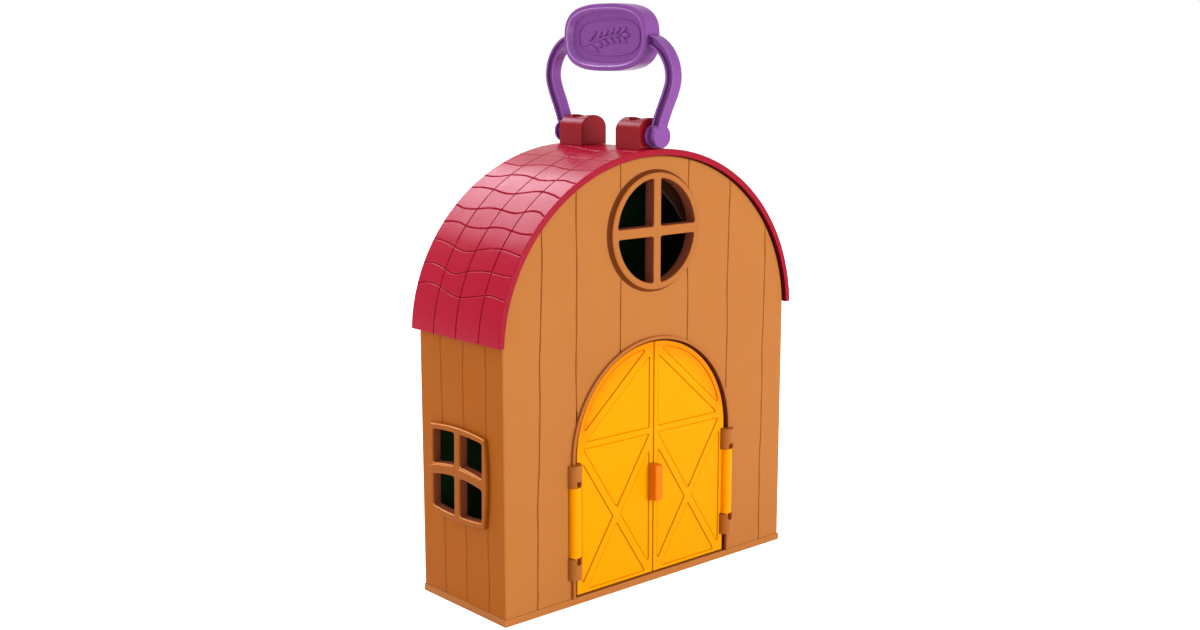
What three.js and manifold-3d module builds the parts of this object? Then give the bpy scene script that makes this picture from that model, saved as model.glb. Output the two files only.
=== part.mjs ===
// Toy barn playset: arched roof, twin front doors, fold-down rear yard panel and a carry handle.
// Millimetres, +X to the right seen from the front, +Y to the rear, +Z up, origin at the base centre.
import * as THREE from 'three';
import { mergeVertices } from 'three/addons/utils/BufferGeometryUtils.js';
import Module from 'manifold-3d';

const wasm = await Module();
wasm.setup();

// Body shell
const BODY_WIDTH = 220;
const BODY_DEPTH = 75.6;
const WALL = 2.8;
const WALL_HEIGHT = 150;
const ARCH_RISE = 100;

// Plinth and floor
const FLOOR_HEIGHT = 4;
const FLOOR_PROUD = 0.4;

// Roof
const ROOF_THICKNESS = 3.6;
const ROOF_SIDE_GAP = 0.8;
const ROOF_CROWN_GAP = 0.3;
const ROOF_OVERHANG = 2.35;
const EAVE_RISE = 4.7;

// Clearances
const FACE_GAP = 0.1;
const FIT_GAP = 0.3;
const HOLE_GAP = 0.15;

// Front door opening and its raised surround
const OPENING_RADIUS = 61;
const OPENING_SPRING = 83.9;
const SURROUND_WIDTH = 2;
const SURROUND_PROUD = 1.7;

// Front doors
const DOOR_EDGE_GAP = 2.3;
const DOOR_CROWN_GAP = 1.2;
const DOOR_FLOOR_GAP = 1.2;
const DOOR_SPLIT = 0.8;
const DOOR_SETBACK = 0.1;
const DOOR_THICKNESS = 2.8;
const RELIEF_DEPTH = 0.6;
const RIM_WIDTH = 2.6;
const BRACE_WIDTH = 4.4;
const RAIL_HEIGHT = 4.4;
const RAIL_BOTTOM = 89;

// Front door hinges
const HINGE_PROUD = 0.2;
const BARREL_RADIUS = 3.6;
const BARREL_BOTTOM = 28.5;
const BARREL_LENGTH = 40.8;
const BARREL_RECESS_GAP = 1.8;
const BRACKET_RADIUS = 4.4;
const BRACKET_HEIGHT = 12.3;
const BRACKET_GAP = 0.4;
const STUB_RADIUS = 1.7;
const STUB_LENGTH = 5.6;
const STUB_CLEARANCE = 0.3;
const WINDOW_SLOT_WIDTH = 3.4;
const WINDOW_SLOT_HEIGHT = 4.4;

// Pull bar on the right door
const PULL_WIDTH = 6.2;
const PULL_LEFT = -3.4;
const PULL_BOTTOM = 50;
const PULL_HEIGHT = 21.4;
const PULL_PROUD = 5.6;

// Round window in the gable
const ROUND_WINDOW_RISE = 57.7;
const ROUND_WINDOW_RADIUS = 34.1;
const ROUND_PANE_RADIUS = 29.6;
const ROUND_SPIGOT_WALL = 1.5;
const ROUND_UPRIGHT = 5.9;
const ROUND_TRANSOM = 6.4;
const ROUND_PROUD = 2;
const ROUND_DEPTH = 6.2;

// Side windows
const SIDE_WINDOW_HEIGHT = 77.4;
const SIDE_HALF_WIDTH = 24.8;
const SIDE_HALF_HEIGHT = 25.2;
const SIDE_BOW = 1.9;
const SIDE_BORDER = 2.3;
const SIDE_SPIGOT_INSET = 0.9;
const SIDE_UPRIGHT = 5.4;
const SIDE_TRANSOM = 6.2;
const SIDE_TRANSOM_RISE = 0.9;
const SIDE_PROUD = 2.6;
const SIDE_DEPTH = 8.1;

// Ridge lugs that carry the handle
const LUG_HALF_WIDTH = 9.7;
const LUG_INNER = 14.5;
const LUG_LENGTH = 20.3;
const LUG_CROWN_RISE = 7.3;
const LUG_TOP_ABOVE_PIVOT = 10.1;
const LUG_WELL_RADIUS = 6.2;
const LUG_WELL_DEPTH = 5;

// Carry handle
const PIVOT_ABOVE_ROOF = 7;
const PIVOT_RADIUS = 2.2;
const PIVOT_LENGTH = 6.4;
const PIVOT_CLEARANCE = 0.25;
const EYE_RADIUS = 6.5;
const EYE_LENGTH = 8.2;
const ARM_WIDTH = 7;
const ARM_THICKNESS = 5.5;
const ARM_RIM = 1.3;
const ARM_CHANNEL_DEPTH = 1.2;
const ARM_BULGE = 12.6;
const PLAQUE_ABOVE_PIVOT = 54.8;
const PLAQUE_HALF_LENGTH = 35.4;
const PLAQUE_HALF_HEIGHT = 18.8;
const PLAQUE_THICKNESS = 10.6;
const PLAQUE_RIM = 3.2;
const PLAQUE_WELL_DEPTH = 4;
const PLAQUE_ROUNDNESS = 3;

// Rear panel that folds down
const PANEL_GAP = 0.6;
const PANEL_THICKNESS = 2.5;
const PANEL_SETBACK = 2.6;
const PANEL_BOTTOM = 0.5;
const PANEL_NOTCH_RADIUS = 8;
const LINER_THICKNESS = 2.5;
const LINER_MARGIN = 3.2;
const LINER_BOTTOM = 8;
const LINER_RIM = 3;
const LINER_RIM_HEIGHT = 1.2;
const STOP_SIZE = 2.9;
const STOP_HEIGHT = 18;
const REAR_HINGE_HEIGHT = 2.9;
const REAR_HINGE_INSET = 2.2;
const REAR_HINGE_SPREAD = 60;
const REAR_CLIP_WIDTH = 20;
const REAR_BAR_RADIUS = 1.3;
const REAR_CLIP_WALL = 1;
const REAR_CLIP_CLEARANCE = 0.25;
const REAR_EAR_RADIUS = 2.5;
const REAR_EAR_WIDTH = 4;
const REAR_SWEEP_GAP = 0.6;

// Screws and the bosses they bite in
const SCREW_RADIUS = 1.2;
const SCREW_HEAD_RADIUS = 2.8;
const SCREW_HEAD_HEIGHT = 1.5;
const SCREW_CROSS = 3.2;
const SCREW_CROSS_WIDTH = 0.7;
const SCREW_CROSS_DEPTH = 0.9;
const SCREW_LENGTH = 14;
const LUG_SCREW_LENGTH = 22;
const BOSS_SIZE = 8;
const BOSS_HEIGHT = 16;
const CROWN_BOSS_HEIGHT = 9;
const BOSS_FRONT_INSET = 7;
const BOSS_REAR_INSET = 14;

// Facets of the round shapes
const ARCH_STEPS = 20;
const ROUND_STEPS = 24;
const SMALL_STEPS = 12;
const PANE_STEPS = 8;
const PLAQUE_STEPS = 36;
const ARM_STEPS = 12;

// Sizes that follow from the ones above
const HALF_WIDTH = BODY_WIDTH / 2;
const FRONT = -BODY_DEPTH / 2;
const REAR = BODY_DEPTH / 2;
const SHELL_BOTTOM = FLOOR_HEIGHT + FACE_GAP;
const ROOF_INNER_HALF = HALF_WIDTH + ROOF_SIDE_GAP;
const ROOF_INNER_RISE = ARCH_RISE + ROOF_CROWN_GAP;
const ROOF_OUTER_HALF = ROOF_INNER_HALF + ROOF_THICKNESS;
const ROOF_OUTER_RISE = ROOF_INNER_RISE + ROOF_THICKNESS;
const ROOF_TOP = WALL_HEIGHT + ROOF_OUTER_RISE;
const ROUND_WINDOW_HEIGHT = WALL_HEIGHT + ROUND_WINDOW_RISE;
const DOOR_RADIUS = OPENING_RADIUS - DOOR_EDGE_GAP;
const DOOR_SPRING = OPENING_SPRING + OPENING_RADIUS - DOOR_CROWN_GAP - DOOR_RADIUS;
const DOOR_BOTTOM = FLOOR_HEIGHT + DOOR_FLOOR_GAP;
const DOOR_FACE = FRONT + DOOR_SETBACK;
const DOOR_BACK = DOOR_FACE + DOOR_THICKNESS;
const DOOR_INNER_EDGE = DOOR_SPLIT / 2;
const HINGE_X = OPENING_RADIUS;
const HINGE_Y = FRONT - HINGE_PROUD;
const BARREL_TOP = BARREL_BOTTOM + BARREL_LENGTH;
const UPPER_BRACKET = BARREL_TOP + BRACKET_GAP;
const LOWER_BRACKET = BARREL_BOTTOM - BRACKET_GAP - BRACKET_HEIGHT;
const BRACKET_NOTCH = BRACKET_RADIUS + BRACKET_GAP;
const PIVOT_HEIGHT = ROOF_TOP + PIVOT_ABOVE_ROOF;
const LUG_OUTER = LUG_INNER + LUG_LENGTH;
const LUG_CENTRE = (LUG_INNER + LUG_OUTER) / 2;
const LUG_TOP = PIVOT_HEIGHT + LUG_TOP_ABOVE_PIVOT;
const LUG_WELL_FLOOR = LUG_TOP - LUG_WELL_DEPTH;
const EYE_INNER = LUG_OUTER + FIT_GAP;
const EYE_OUTER = EYE_INNER + EYE_LENGTH;
const PANEL_OUTER = REAR - PANEL_SETBACK;
const PANEL_INNER = PANEL_OUTER - PANEL_THICKNESS;
const PANEL_HALF = HALF_WIDTH - WALL - PANEL_GAP;
const PANEL_RISE = ARCH_RISE - WALL - PANEL_GAP;
const PANEL_TOP = WALL_HEIGHT + PANEL_RISE;
const LINER_OUTER = PANEL_INNER - FACE_GAP;
const LINER_INNER = LINER_OUTER - LINER_THICKNESS;
const REAR_HINGE_Y = REAR - REAR_HINGE_INSET;
const FLOOR_REAR_EDGE = LINER_INNER - LINER_RIM_HEIGHT - REAR_SWEEP_GAP;
const CLIP_BORE = REAR_BAR_RADIUS + REAR_CLIP_CLEARANCE;
const CLIP_OUTER = CLIP_BORE + REAR_CLIP_WALL;
const SCREW_HOLE = SCREW_RADIUS + HOLE_GAP;
const BOSS_X = HALF_WIDTH - WALL - BOSS_SIZE / 2;
const BOSS_FRONT_Y = FRONT + WALL + BOSS_FRONT_INSET;
const BOSS_REAR_Y = FLOOR_REAR_EDGE - BOSS_REAR_INSET;
const THROUGH = 5;

// Colours and finish of the mouldings
const paint = (colour, roughness) => new THREE.MeshStandardMaterial({ color: colour, roughness, metalness: 0 });
const MATERIALS = {
  wall: paint(0xcd8346, 0.45),
  trim: paint(0xc97e42, 0.45),
  roof: paint(0xb2202a, 0.35),
  door: paint(0xfcb206, 0.4),
  handle: paint(0x8a45a0, 0.35),
  yard: paint(0x3f8f3a, 0.5),
  screw: new THREE.MeshStandardMaterial({ color: 0xa8a8a8, roughness: 0.35, metalness: 0.9 }),
};

// Turn a closed geometry into a solid that can be cut and joined
function toSolid(geometry) {
  const bare = geometry.clone();
  bare.deleteAttribute('normal');
  bare.deleteAttribute('uv');
  const merged = mergeVertices(bare, 1e-4);
  const vertProperties = new Float32Array(merged.attributes.position.array);
  const triVerts = new Uint32Array(merged.index.array);
  return new wasm.Manifold(new wasm.Mesh({ numProp: 3, vertProperties, triVerts }));
}

// Turn a solid back into a geometry
function toGeometry(solid) {
  const mesh = solid.getMesh();
  const geometry = new THREE.BufferGeometry();
  geometry.setAttribute('position', new THREE.BufferAttribute(mesh.vertProperties, 3));
  geometry.setIndex(new THREE.BufferAttribute(mesh.triVerts, 1));
  geometry.computeVertexNormals();
  return geometry;
}

// Extrude an outline drawn in X and Z from one Y to another
function extrudeFront(shape, yFrom, yTo, steps = ROUND_STEPS) {
  const geometry = new THREE.ExtrudeGeometry(shape, {
    depth: yTo - yFrom, bevelEnabled: false, curveSegments: steps / 2,
  });
  const turn = new THREE.Matrix4().makeBasis(
    new THREE.Vector3(1, 0, 0), new THREE.Vector3(0, 0, 1), new THREE.Vector3(0, -1, 0));
  geometry.applyMatrix4(turn);
  geometry.translate(0, yTo, 0);
  return toSolid(geometry);
}

// Extrude an outline drawn in Y and Z from one X to another
function extrudeSide(shape, xFrom, xTo, steps = ROUND_STEPS) {
  const geometry = new THREE.ExtrudeGeometry(shape, {
    depth: xTo - xFrom, bevelEnabled: false, curveSegments: steps / 2,
  });
  const turn = new THREE.Matrix4().makeBasis(
    new THREE.Vector3(0, 1, 0), new THREE.Vector3(0, 0, 1), new THREE.Vector3(1, 0, 0));
  geometry.applyMatrix4(turn);
  geometry.translate(xFrom, 0, 0);
  return toSolid(geometry);
}

// Extrude an outline drawn in X and Y from one Z to another
function extrudeUp(shape, zFrom, zTo, steps = ROUND_STEPS) {
  const geometry = new THREE.ExtrudeGeometry(shape, {
    depth: zTo - zFrom, bevelEnabled: false, curveSegments: steps / 2,
  });
  geometry.translate(0, 0, zFrom);
  return toSolid(geometry);
}

// Block between two opposite corners
function block(low, high) {
  const geometry = new THREE.BoxGeometry(high[0] - low[0], high[1] - low[1], high[2] - low[2]);
  geometry.translate((low[0] + high[0]) / 2, (low[1] + high[1]) / 2, (low[2] + high[2]) / 2);
  return toSolid(geometry);
}

// Outline of a rectangle
function rectangle(left, bottom, right, top) {
  const shape = new THREE.Shape();
  shape.moveTo(left, bottom);
  shape.lineTo(right, bottom);
  shape.lineTo(right, top);
  shape.lineTo(left, top);
  shape.closePath();
  return shape;
}

// Outline of a disc
function disc(x, y, radius) {
  const shape = new THREE.Shape();
  shape.absarc(x, y, radius, 0, 2 * Math.PI, false);
  return shape;
}

// Outline with upright sides and a half-ellipse on top
function archOutline(halfWidth, bottom, spring, rise) {
  const shape = new THREE.Shape();
  shape.moveTo(-halfWidth, bottom);
  shape.lineTo(halfWidth, bottom);
  shape.lineTo(halfWidth, spring);
  shape.absellipse(0, spring, halfWidth, rise, 0, Math.PI, false);
  shape.closePath();
  return shape;
}

// Put every corner of a solid on the other side of the X = 0 plane
function mirrored(solid) {
  const geometry = toGeometry(solid);
  geometry.scale(-1, 1, 1);
  const order = geometry.index.array;
  for (let i = 0; i < order.length; i += 3) {
    const second = order[i + 1];
    order[i + 1] = order[i + 2];
    order[i + 2] = second;
  }
  return toSolid(geometry);
}

// Named mesh whose own origin lies at a given place, so that it turns about that place
function piece(name, solid, material, origin = [0, 0, 0]) {
  const geometry = toGeometry(solid);
  geometry.translate(-origin[0], -origin[1], -origin[2]);
  const mesh = new THREE.Mesh(geometry, material);
  mesh.name = name;
  mesh.position.set(...origin);
  return mesh;
}

// Outline of the shell's arch, drawn in by a given amount
const shellOutline = (inset, bottom) => archOutline(HALF_WIDTH - inset, bottom, WALL_HEIGHT, ARCH_RISE - inset);

// Outline of the door opening, with its radius changed by a given amount
const openingOutline = (grow) => archOutline(
  OPENING_RADIUS + grow, SHELL_BOTTOM - THROUGH, OPENING_SPRING, OPENING_RADIUS + grow);

// Places of the floor screws
const FLOOR_SCREWS = [
  ['front_left', -BOSS_X, BOSS_FRONT_Y],
  ['front_right', BOSS_X, BOSS_FRONT_Y],
  ['rear_left', -BOSS_X, BOSS_REAR_Y],
  ['rear_right', BOSS_X, BOSS_REAR_Y],
];

// Side window outline with sides that bow outwards, drawn in by a given amount
function sideOutline(inset) {
  const halfWidth = SIDE_HALF_WIDTH - inset;
  const halfHeight = SIDE_HALF_HEIGHT - inset;
  const shape = new THREE.Shape();
  shape.moveTo(-halfWidth, -halfHeight);
  shape.quadraticCurveTo(0, -halfHeight - 2 * SIDE_BOW, halfWidth, -halfHeight);
  shape.quadraticCurveTo(halfWidth + 2 * SIDE_BOW, 0, halfWidth, halfHeight);
  shape.quadraticCurveTo(0, halfHeight + 2 * SIDE_BOW, -halfWidth, halfHeight);
  shape.quadraticCurveTo(-halfWidth - 2 * SIDE_BOW, 0, -halfWidth, -halfHeight);
  return shape;
}

// Turn a piece modelled on the front so that it lies on the left (-1) or right (+1) wall
function onSideWall(solid, side) {
  const geometry = toGeometry(solid);
  geometry.rotateZ(side * Math.PI / 2);
  geometry.translate(side * HALF_WIDTH, 0, SIDE_WINDOW_HEIGHT);
  return toSolid(geometry);
}

// Front wall, side walls and arch in one moulding, open at the rear and at the bottom
function makeShell() {
  let shell = extrudeFront(shellOutline(0, SHELL_BOTTOM), FRONT, REAR, 2 * ARCH_STEPS);
  const room = extrudeFront(shellOutline(WALL, SHELL_BOTTOM - THROUGH), FRONT + WALL, REAR + THROUGH, 2 * ARCH_STEPS);
  shell = shell.subtract(room);
  shell = shell.add(shellBosses()).add(panelStops());
  shell = shell.subtract(extrudeFront(openingOutline(0), FRONT - THROUGH, FRONT + WALL + THROUGH));
  const roundHole = disc(0, ROUND_WINDOW_HEIGHT, ROUND_PANE_RADIUS + ROUND_SPIGOT_WALL + FIT_GAP);
  shell = shell.subtract(extrudeFront(roundHole, FRONT - THROUGH, FRONT + WALL + THROUGH));
  for (const side of [-1, 1]) {
    const sideHole = extrudeFront(sideOutline(SIDE_SPIGOT_INSET - FIT_GAP), -THROUGH, WALL + THROUGH, SMALL_STEPS);
    shell = shell.subtract(onSideWall(sideHole, side));
    shell = shell.subtract(hingeRecess(side));
  }
  for (const [, x, y] of FLOOR_SCREWS) {
    shell = shell.subtract(extrudeUp(disc(x, y, SCREW_HOLE), SHELL_BOTTOM - 1, SHELL_BOTTOM + SCREW_LENGTH, SMALL_STEPS));
  }
  for (const y of [-LUG_CENTRE, LUG_CENTRE]) {
    const low = LUG_WELL_FLOOR - LUG_SCREW_LENGTH - 1;
    shell = shell.subtract(extrudeUp(disc(0, y, SCREW_HOLE), low, ROOF_TOP, SMALL_STEPS));
  }
  return piece('barn_shell', shell, MATERIALS.wall);
}

// Bosses in the lower corners and under the crown for the screws
function shellBosses() {
  const half = BOSS_SIZE / 2;
  const crownBottom = WALL_HEIGHT + ARCH_RISE - WALL - CROWN_BOSS_HEIGHT;
  let bosses = null;
  for (const [, x, y] of FLOOR_SCREWS) {
    const reach = Math.sign(x) * (half + WALL / 2);
    const low = [Math.min(x - half, x + reach), y - half, SHELL_BOTTOM];
    const high = [Math.max(x + half, x + reach), y + half, SHELL_BOTTOM + BOSS_HEIGHT];
    const boss = block(low, high);
    bosses = bosses ? bosses.add(boss) : boss;
  }
  for (const y of [-LUG_CENTRE, LUG_CENTRE]) {
    bosses = bosses.add(block([-half, y - half, crownBottom], [half, y + half, crownBottom + CROWN_BOSS_HEIGHT + WALL / 2]));
  }
  return bosses;
}

// Small blocks inside the walls that the closed rear panel rests against
function panelStops() {
  const far = PANEL_INNER - FIT_GAP;
  const near = far - STOP_SIZE;
  const inner = HALF_WIDTH - WALL;
  let stops = null;
  for (const z of [WALL_HEIGHT / 3, WALL_HEIGHT - STOP_HEIGHT]) {
    const right = block([inner - STOP_SIZE, near, z], [inner + WALL / 2, far, z + STOP_HEIGHT]);
    const pair = right.add(mirrored(right));
    stops = stops ? stops.add(pair) : pair;
  }
  return stops;
}

// Room in the front wall for a door barrel and its stub pins
function hingeRecess(side) {
  const edge = HINGE_X + BARREL_RADIUS + BARREL_RECESS_GAP;
  const xs = [side * (HINGE_X - THROUGH), side * edge].sort((a, b) => a - b);
  const room = block(
    [xs[0], FRONT - THROUGH, BARREL_BOTTOM - BRACKET_GAP],
    [xs[1], FRONT + WALL + THROUGH, BARREL_TOP + BRACKET_GAP]);
  const pins = extrudeUp(
    disc(side * HINGE_X, HINGE_Y, STUB_RADIUS + STUB_CLEARANCE),
    BARREL_BOTTOM - STUB_LENGTH - 1, BARREL_TOP + STUB_LENGTH + 1, SMALL_STEPS);
  return room.add(pins);
}

// Plinth plate with screw wells below and the hinge bars of the rear panel
function makeFloor() {
  const halfWidth = HALF_WIDTH + FLOOR_PROUD;
  const halfDepth = REAR + FLOOR_PROUD;
  let floor = block([-halfWidth, -halfDepth, 0], [halfWidth, halfDepth, FLOOR_HEIGHT]);
  const slot = HALF_WIDTH - WALL + FIT_GAP;
  floor = floor.subtract(block([-slot, FLOOR_REAR_EDGE, -1], [slot, halfDepth + 1, FLOOR_HEIGHT + 1]));
  for (const x of [-REAR_HINGE_SPREAD, REAR_HINGE_SPREAD]) {
    floor = floor.add(hingeEars(x));
  }
  for (const [, x, y] of FLOOR_SCREWS) {
    floor = floor.subtract(extrudeUp(disc(x, y, SCREW_HEAD_RADIUS + HOLE_GAP), -1, SCREW_HEAD_HEIGHT + HOLE_GAP + FIT_GAP, SMALL_STEPS));
    floor = floor.subtract(extrudeUp(disc(x, y, SCREW_HOLE), 0, FLOOR_HEIGHT + 1, SMALL_STEPS));
  }
  return piece('floor_plate', floor, MATERIALS.wall);
}

// Two ears and the bar between them, centred on a given X
function hingeEars(x) {
  const ear = new THREE.Shape();
  ear.moveTo(FLOOR_REAR_EDGE - 1, REAR_HINGE_HEIGHT - REAR_EAR_RADIUS);
  ear.lineTo(REAR_HINGE_Y, REAR_HINGE_HEIGHT - REAR_EAR_RADIUS);
  ear.absarc(REAR_HINGE_Y, REAR_HINGE_HEIGHT, REAR_EAR_RADIUS, -Math.PI / 2, Math.PI / 2, false);
  ear.lineTo(FLOOR_REAR_EDGE - 1, FLOOR_HEIGHT);
  ear.closePath();
  const half = REAR_CLIP_WIDTH / 2;
  const left = extrudeSide(ear, x - half - REAR_EAR_WIDTH, x - half, SMALL_STEPS);
  const right = extrudeSide(ear, x + half, x + half + REAR_EAR_WIDTH, SMALL_STEPS);
  const bar = extrudeSide(disc(REAR_HINGE_Y, REAR_HINGE_HEIGHT, REAR_BAR_RADIUS), x - half - 1, x + half + 1, SMALL_STEPS);
  return left.add(right).add(bar);
}

// Arched roof shell that sits over the shell and stands out at the front and rear
function makeRoof() {
  const eave = WALL_HEIGHT + EAVE_RISE;
  const yFrom = FRONT - ROOF_OVERHANG;
  const yTo = REAR + ROOF_OVERHANG;
  const outer = archOutline(ROOF_OUTER_HALF, WALL_HEIGHT - THROUGH, WALL_HEIGHT, ROOF_OUTER_RISE);
  const inner = archOutline(ROOF_INNER_HALF, WALL_HEIGHT - 2 * THROUGH, WALL_HEIGHT, ROOF_INNER_RISE);
  let roof = extrudeFront(outer, yFrom, yTo, 2 * ARCH_STEPS);
  roof = roof.subtract(extrudeFront(inner, yFrom - 1, yTo + 1, 2 * ARCH_STEPS));
  const below = block([-BODY_WIDTH, yFrom - 1, 0], [BODY_WIDTH, yTo + 1, eave]);
  roof = roof.subtract(below);
  for (const y of [-LUG_CENTRE, LUG_CENTRE]) {
    roof = roof.subtract(extrudeUp(disc(0, y, SCREW_HOLE), WALL_HEIGHT, ROOF_TOP + 1, SMALL_STEPS));
  }
  return piece('roof_shell', roof, MATERIALS.roof);
}

// Ridge lug with an open well in its crown and a blind bore for the handle's pivot
function makeLug(name, side) {
  const shape = archOutline(LUG_HALF_WIDTH, ROOF_TOP - THROUGH, LUG_TOP - LUG_CROWN_RISE, LUG_CROWN_RISE);
  let lug = extrudeFront(shape, LUG_INNER, LUG_OUTER);
  const seat = archOutline(
    ROOF_OUTER_HALF + FACE_GAP, WALL_HEIGHT - 1, WALL_HEIGHT, ROOF_OUTER_RISE + FACE_GAP);
  lug = lug.subtract(extrudeFront(seat, LUG_INNER - 1, LUG_OUTER + 1, 2 * ARCH_STEPS));
  lug = lug.subtract(extrudeUp(disc(0, LUG_CENTRE, LUG_WELL_RADIUS), LUG_WELL_FLOOR, LUG_TOP + 1));
  lug = lug.subtract(extrudeUp(disc(0, LUG_CENTRE, SCREW_HOLE), ROOF_TOP - 1, LUG_TOP, SMALL_STEPS));
  const boreEnd = EYE_INNER - PIVOT_LENGTH - FIT_GAP;
  const bore = disc(0, PIVOT_HEIGHT, PIVOT_RADIUS + PIVOT_CLEARANCE);
  lug = lug.subtract(extrudeFront(bore, boreEnd, LUG_OUTER + 1, SMALL_STEPS));
  return piece(name, side < 0 ? turnedAbout(lug) : lug, MATERIALS.roof);
}

// Half turn about the upright axis
function turnedAbout(solid) {
  const geometry = toGeometry(solid);
  geometry.scale(-1, -1, 1);
  return toSolid(geometry);
}

// Cross-head screw that points along +Z (1) or -Z (-1), with its head's seat at a given place
function makeScrew(name, x, y, z, length, way) {
  const profile = [
    [0, length], [SCREW_RADIUS / 2, length], [SCREW_RADIUS, length - SCREW_RADIUS],
    [SCREW_RADIUS, 0], [SCREW_HEAD_RADIUS, 0], [SCREW_HEAD_RADIUS, -SCREW_HEAD_HEIGHT / 2],
    [SCREW_HEAD_RADIUS - SCREW_HEAD_HEIGHT / 2, -SCREW_HEAD_HEIGHT], [0, -SCREW_HEAD_HEIGHT],
  ];
  const points = profile.map(([radius, height]) => new THREE.Vector2(radius, height)).reverse();
  const geometry = new THREE.LatheGeometry(points, SMALL_STEPS);
  geometry.rotateX(Math.PI / 2);
  let screw = toSolid(geometry);
  const reach = SCREW_CROSS / 2;
  const half = SCREW_CROSS_WIDTH / 2;
  const top = -SCREW_HEAD_HEIGHT + SCREW_CROSS_DEPTH;
  screw = screw.subtract(block([-reach, -half, -SCREW_HEAD_HEIGHT - 1], [reach, half, top]));
  screw = screw.subtract(block([-half, -reach, -SCREW_HEAD_HEIGHT - 1], [half, reach, top]));
  const turned = toGeometry(screw);
  if (way < 0) {
    turned.rotateX(Math.PI);
  }
  const mesh = new THREE.Mesh(turned, MATERIALS.screw);
  mesh.name = name;
  mesh.position.set(x, y, z);
  return mesh;
}

// Centre line of one handle arm, from the eye at the pivot up and out, then in to the plaque
function armCurve() {
  const eye = (EYE_INNER + EYE_OUTER) / 2;
  const bulge = EYE_OUTER - ARM_THICKNESS / 2 + ARM_BULGE;
  const top = PLAQUE_ABOVE_PIVOT - ARM_RIM;
  const points = [
    [eye, 0], [eye + 0.14 * ARM_BULGE, 0.19 * top], [eye + 0.52 * ARM_BULGE, 0.42 * top],
    [bulge - 0.8, 0.64 * top], [bulge - 2.7, 0.82 * top], [bulge - 9.2, 0.93 * top],
    [PLAQUE_HALF_LENGTH - ARM_THICKNESS, 0.99 * top],
  ];
  return new THREE.SplineCurve(points.map(([y, z]) => new THREE.Vector2(y, z + PIVOT_HEIGHT)));
}

// Band of a given half width along the arm, as an outline in Y and Z
function armBand(half) {
  const curve = armCurve();
  const outer = [];
  const inner = [];
  for (let i = 0; i <= ARM_STEPS; i += 1) {
    const at = curve.getPoint(i / ARM_STEPS);
    const along = curve.getTangent(i / ARM_STEPS);
    outer.push(new THREE.Vector2(at.x + along.y * half, at.y - along.x * half));
    inner.push(new THREE.Vector2(at.x - along.y * half, at.y + along.x * half));
  }
  return new THREE.Shape([...outer, ...inner.reverse()]);
}

// Rounded plaque outline in Y and Z, drawn in by a given amount
function plaqueOutline(inset) {
  const points = [];
  for (let i = 0; i < PLAQUE_STEPS; i += 1) {
    const angle = 2 * Math.PI * i / PLAQUE_STEPS;
    const power = 2 / PLAQUE_ROUNDNESS;
    const y = (PLAQUE_HALF_LENGTH - inset) * Math.sign(Math.cos(angle)) * Math.abs(Math.cos(angle)) ** power;
    const z = (PLAQUE_HALF_HEIGHT - inset) * Math.sign(Math.sin(angle)) * Math.abs(Math.sin(angle)) ** power;
    points.push(new THREE.Vector2(y, PIVOT_HEIGHT + PLAQUE_ABOVE_PIVOT + z));
  }
  return new THREE.Shape(points);
}

// One arm with its channels, its eye and the stub that turns in the lug, on the rear side
function handleArm() {
  const half = ARM_WIDTH / 2;
  let arm = extrudeSide(armBand(ARM_THICKNESS / 2), -half, half);
  const channel = armBand(ARM_THICKNESS / 2 - ARM_RIM);
  arm = arm.subtract(extrudeSide(channel, half - ARM_CHANNEL_DEPTH, half + 1));
  arm = arm.subtract(extrudeSide(channel, -half - 1, -half + ARM_CHANNEL_DEPTH));
  arm = arm.add(extrudeFront(disc(0, PIVOT_HEIGHT, EYE_RADIUS), EYE_INNER, EYE_OUTER));
  return arm.add(extrudeFront(disc(0, PIVOT_HEIGHT, PIVOT_RADIUS), EYE_INNER - PIVOT_LENGTH, EYE_INNER + 1, SMALL_STEPS));
}

// Carry handle: two arms with pivots and the plaque between them
function makeHandle() {
  const half = PLAQUE_THICKNESS / 2;
  const rearArm = handleArm();
  let handle = extrudeSide(plaqueOutline(0), -half, half);
  handle = handle.add(rearArm).add(turnedAbout(rearArm));
  handle = handle.subtract(extrudeSide(plaqueOutline(PLAQUE_RIM), half - PLAQUE_WELL_DEPTH, half + 1));
  handle = handle.subtract(extrudeSide(plaqueOutline(PLAQUE_RIM), -half - 1, -half + PLAQUE_WELL_DEPTH));
  return piece('carry_handle', handle, MATERIALS.handle, [0, 0, PIVOT_HEIGHT]);
}

// Outline of the right door, drawn in by a given amount
function leafOutline(inset) {
  const radius = DOOR_RADIUS - inset;
  const edge = DOOR_INNER_EDGE + inset;
  const shape = new THREE.Shape();
  shape.moveTo(edge, DOOR_BOTTOM + inset);
  shape.lineTo(radius, DOOR_BOTTOM + inset);
  shape.lineTo(radius, DOOR_SPRING);
  shape.absarc(0, DOOR_SPRING, radius, 0, Math.acos(edge / radius), false);
  shape.closePath();
  return shape;
}

// Straight band between two points of the door face, of a given width
function brace(from, to, width) {
  const along = new THREE.Vector2(to[0] - from[0], to[1] - from[1]).normalize();
  const across = new THREE.Vector2(-along.y, along.x).multiplyScalar(width / 2);
  const shape = new THREE.Shape([
    new THREE.Vector2(from[0] + across.x, from[1] + across.y),
    new THREE.Vector2(from[0] - across.x, from[1] - across.y),
    new THREE.Vector2(to[0] - across.x, to[1] - across.y),
    new THREE.Vector2(to[0] + across.x, to[1] + across.y),
  ]);
  return extrudeFront(shape, DOOR_FACE, DOOR_FACE + 2 * RELIEF_DEPTH);
}

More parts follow.
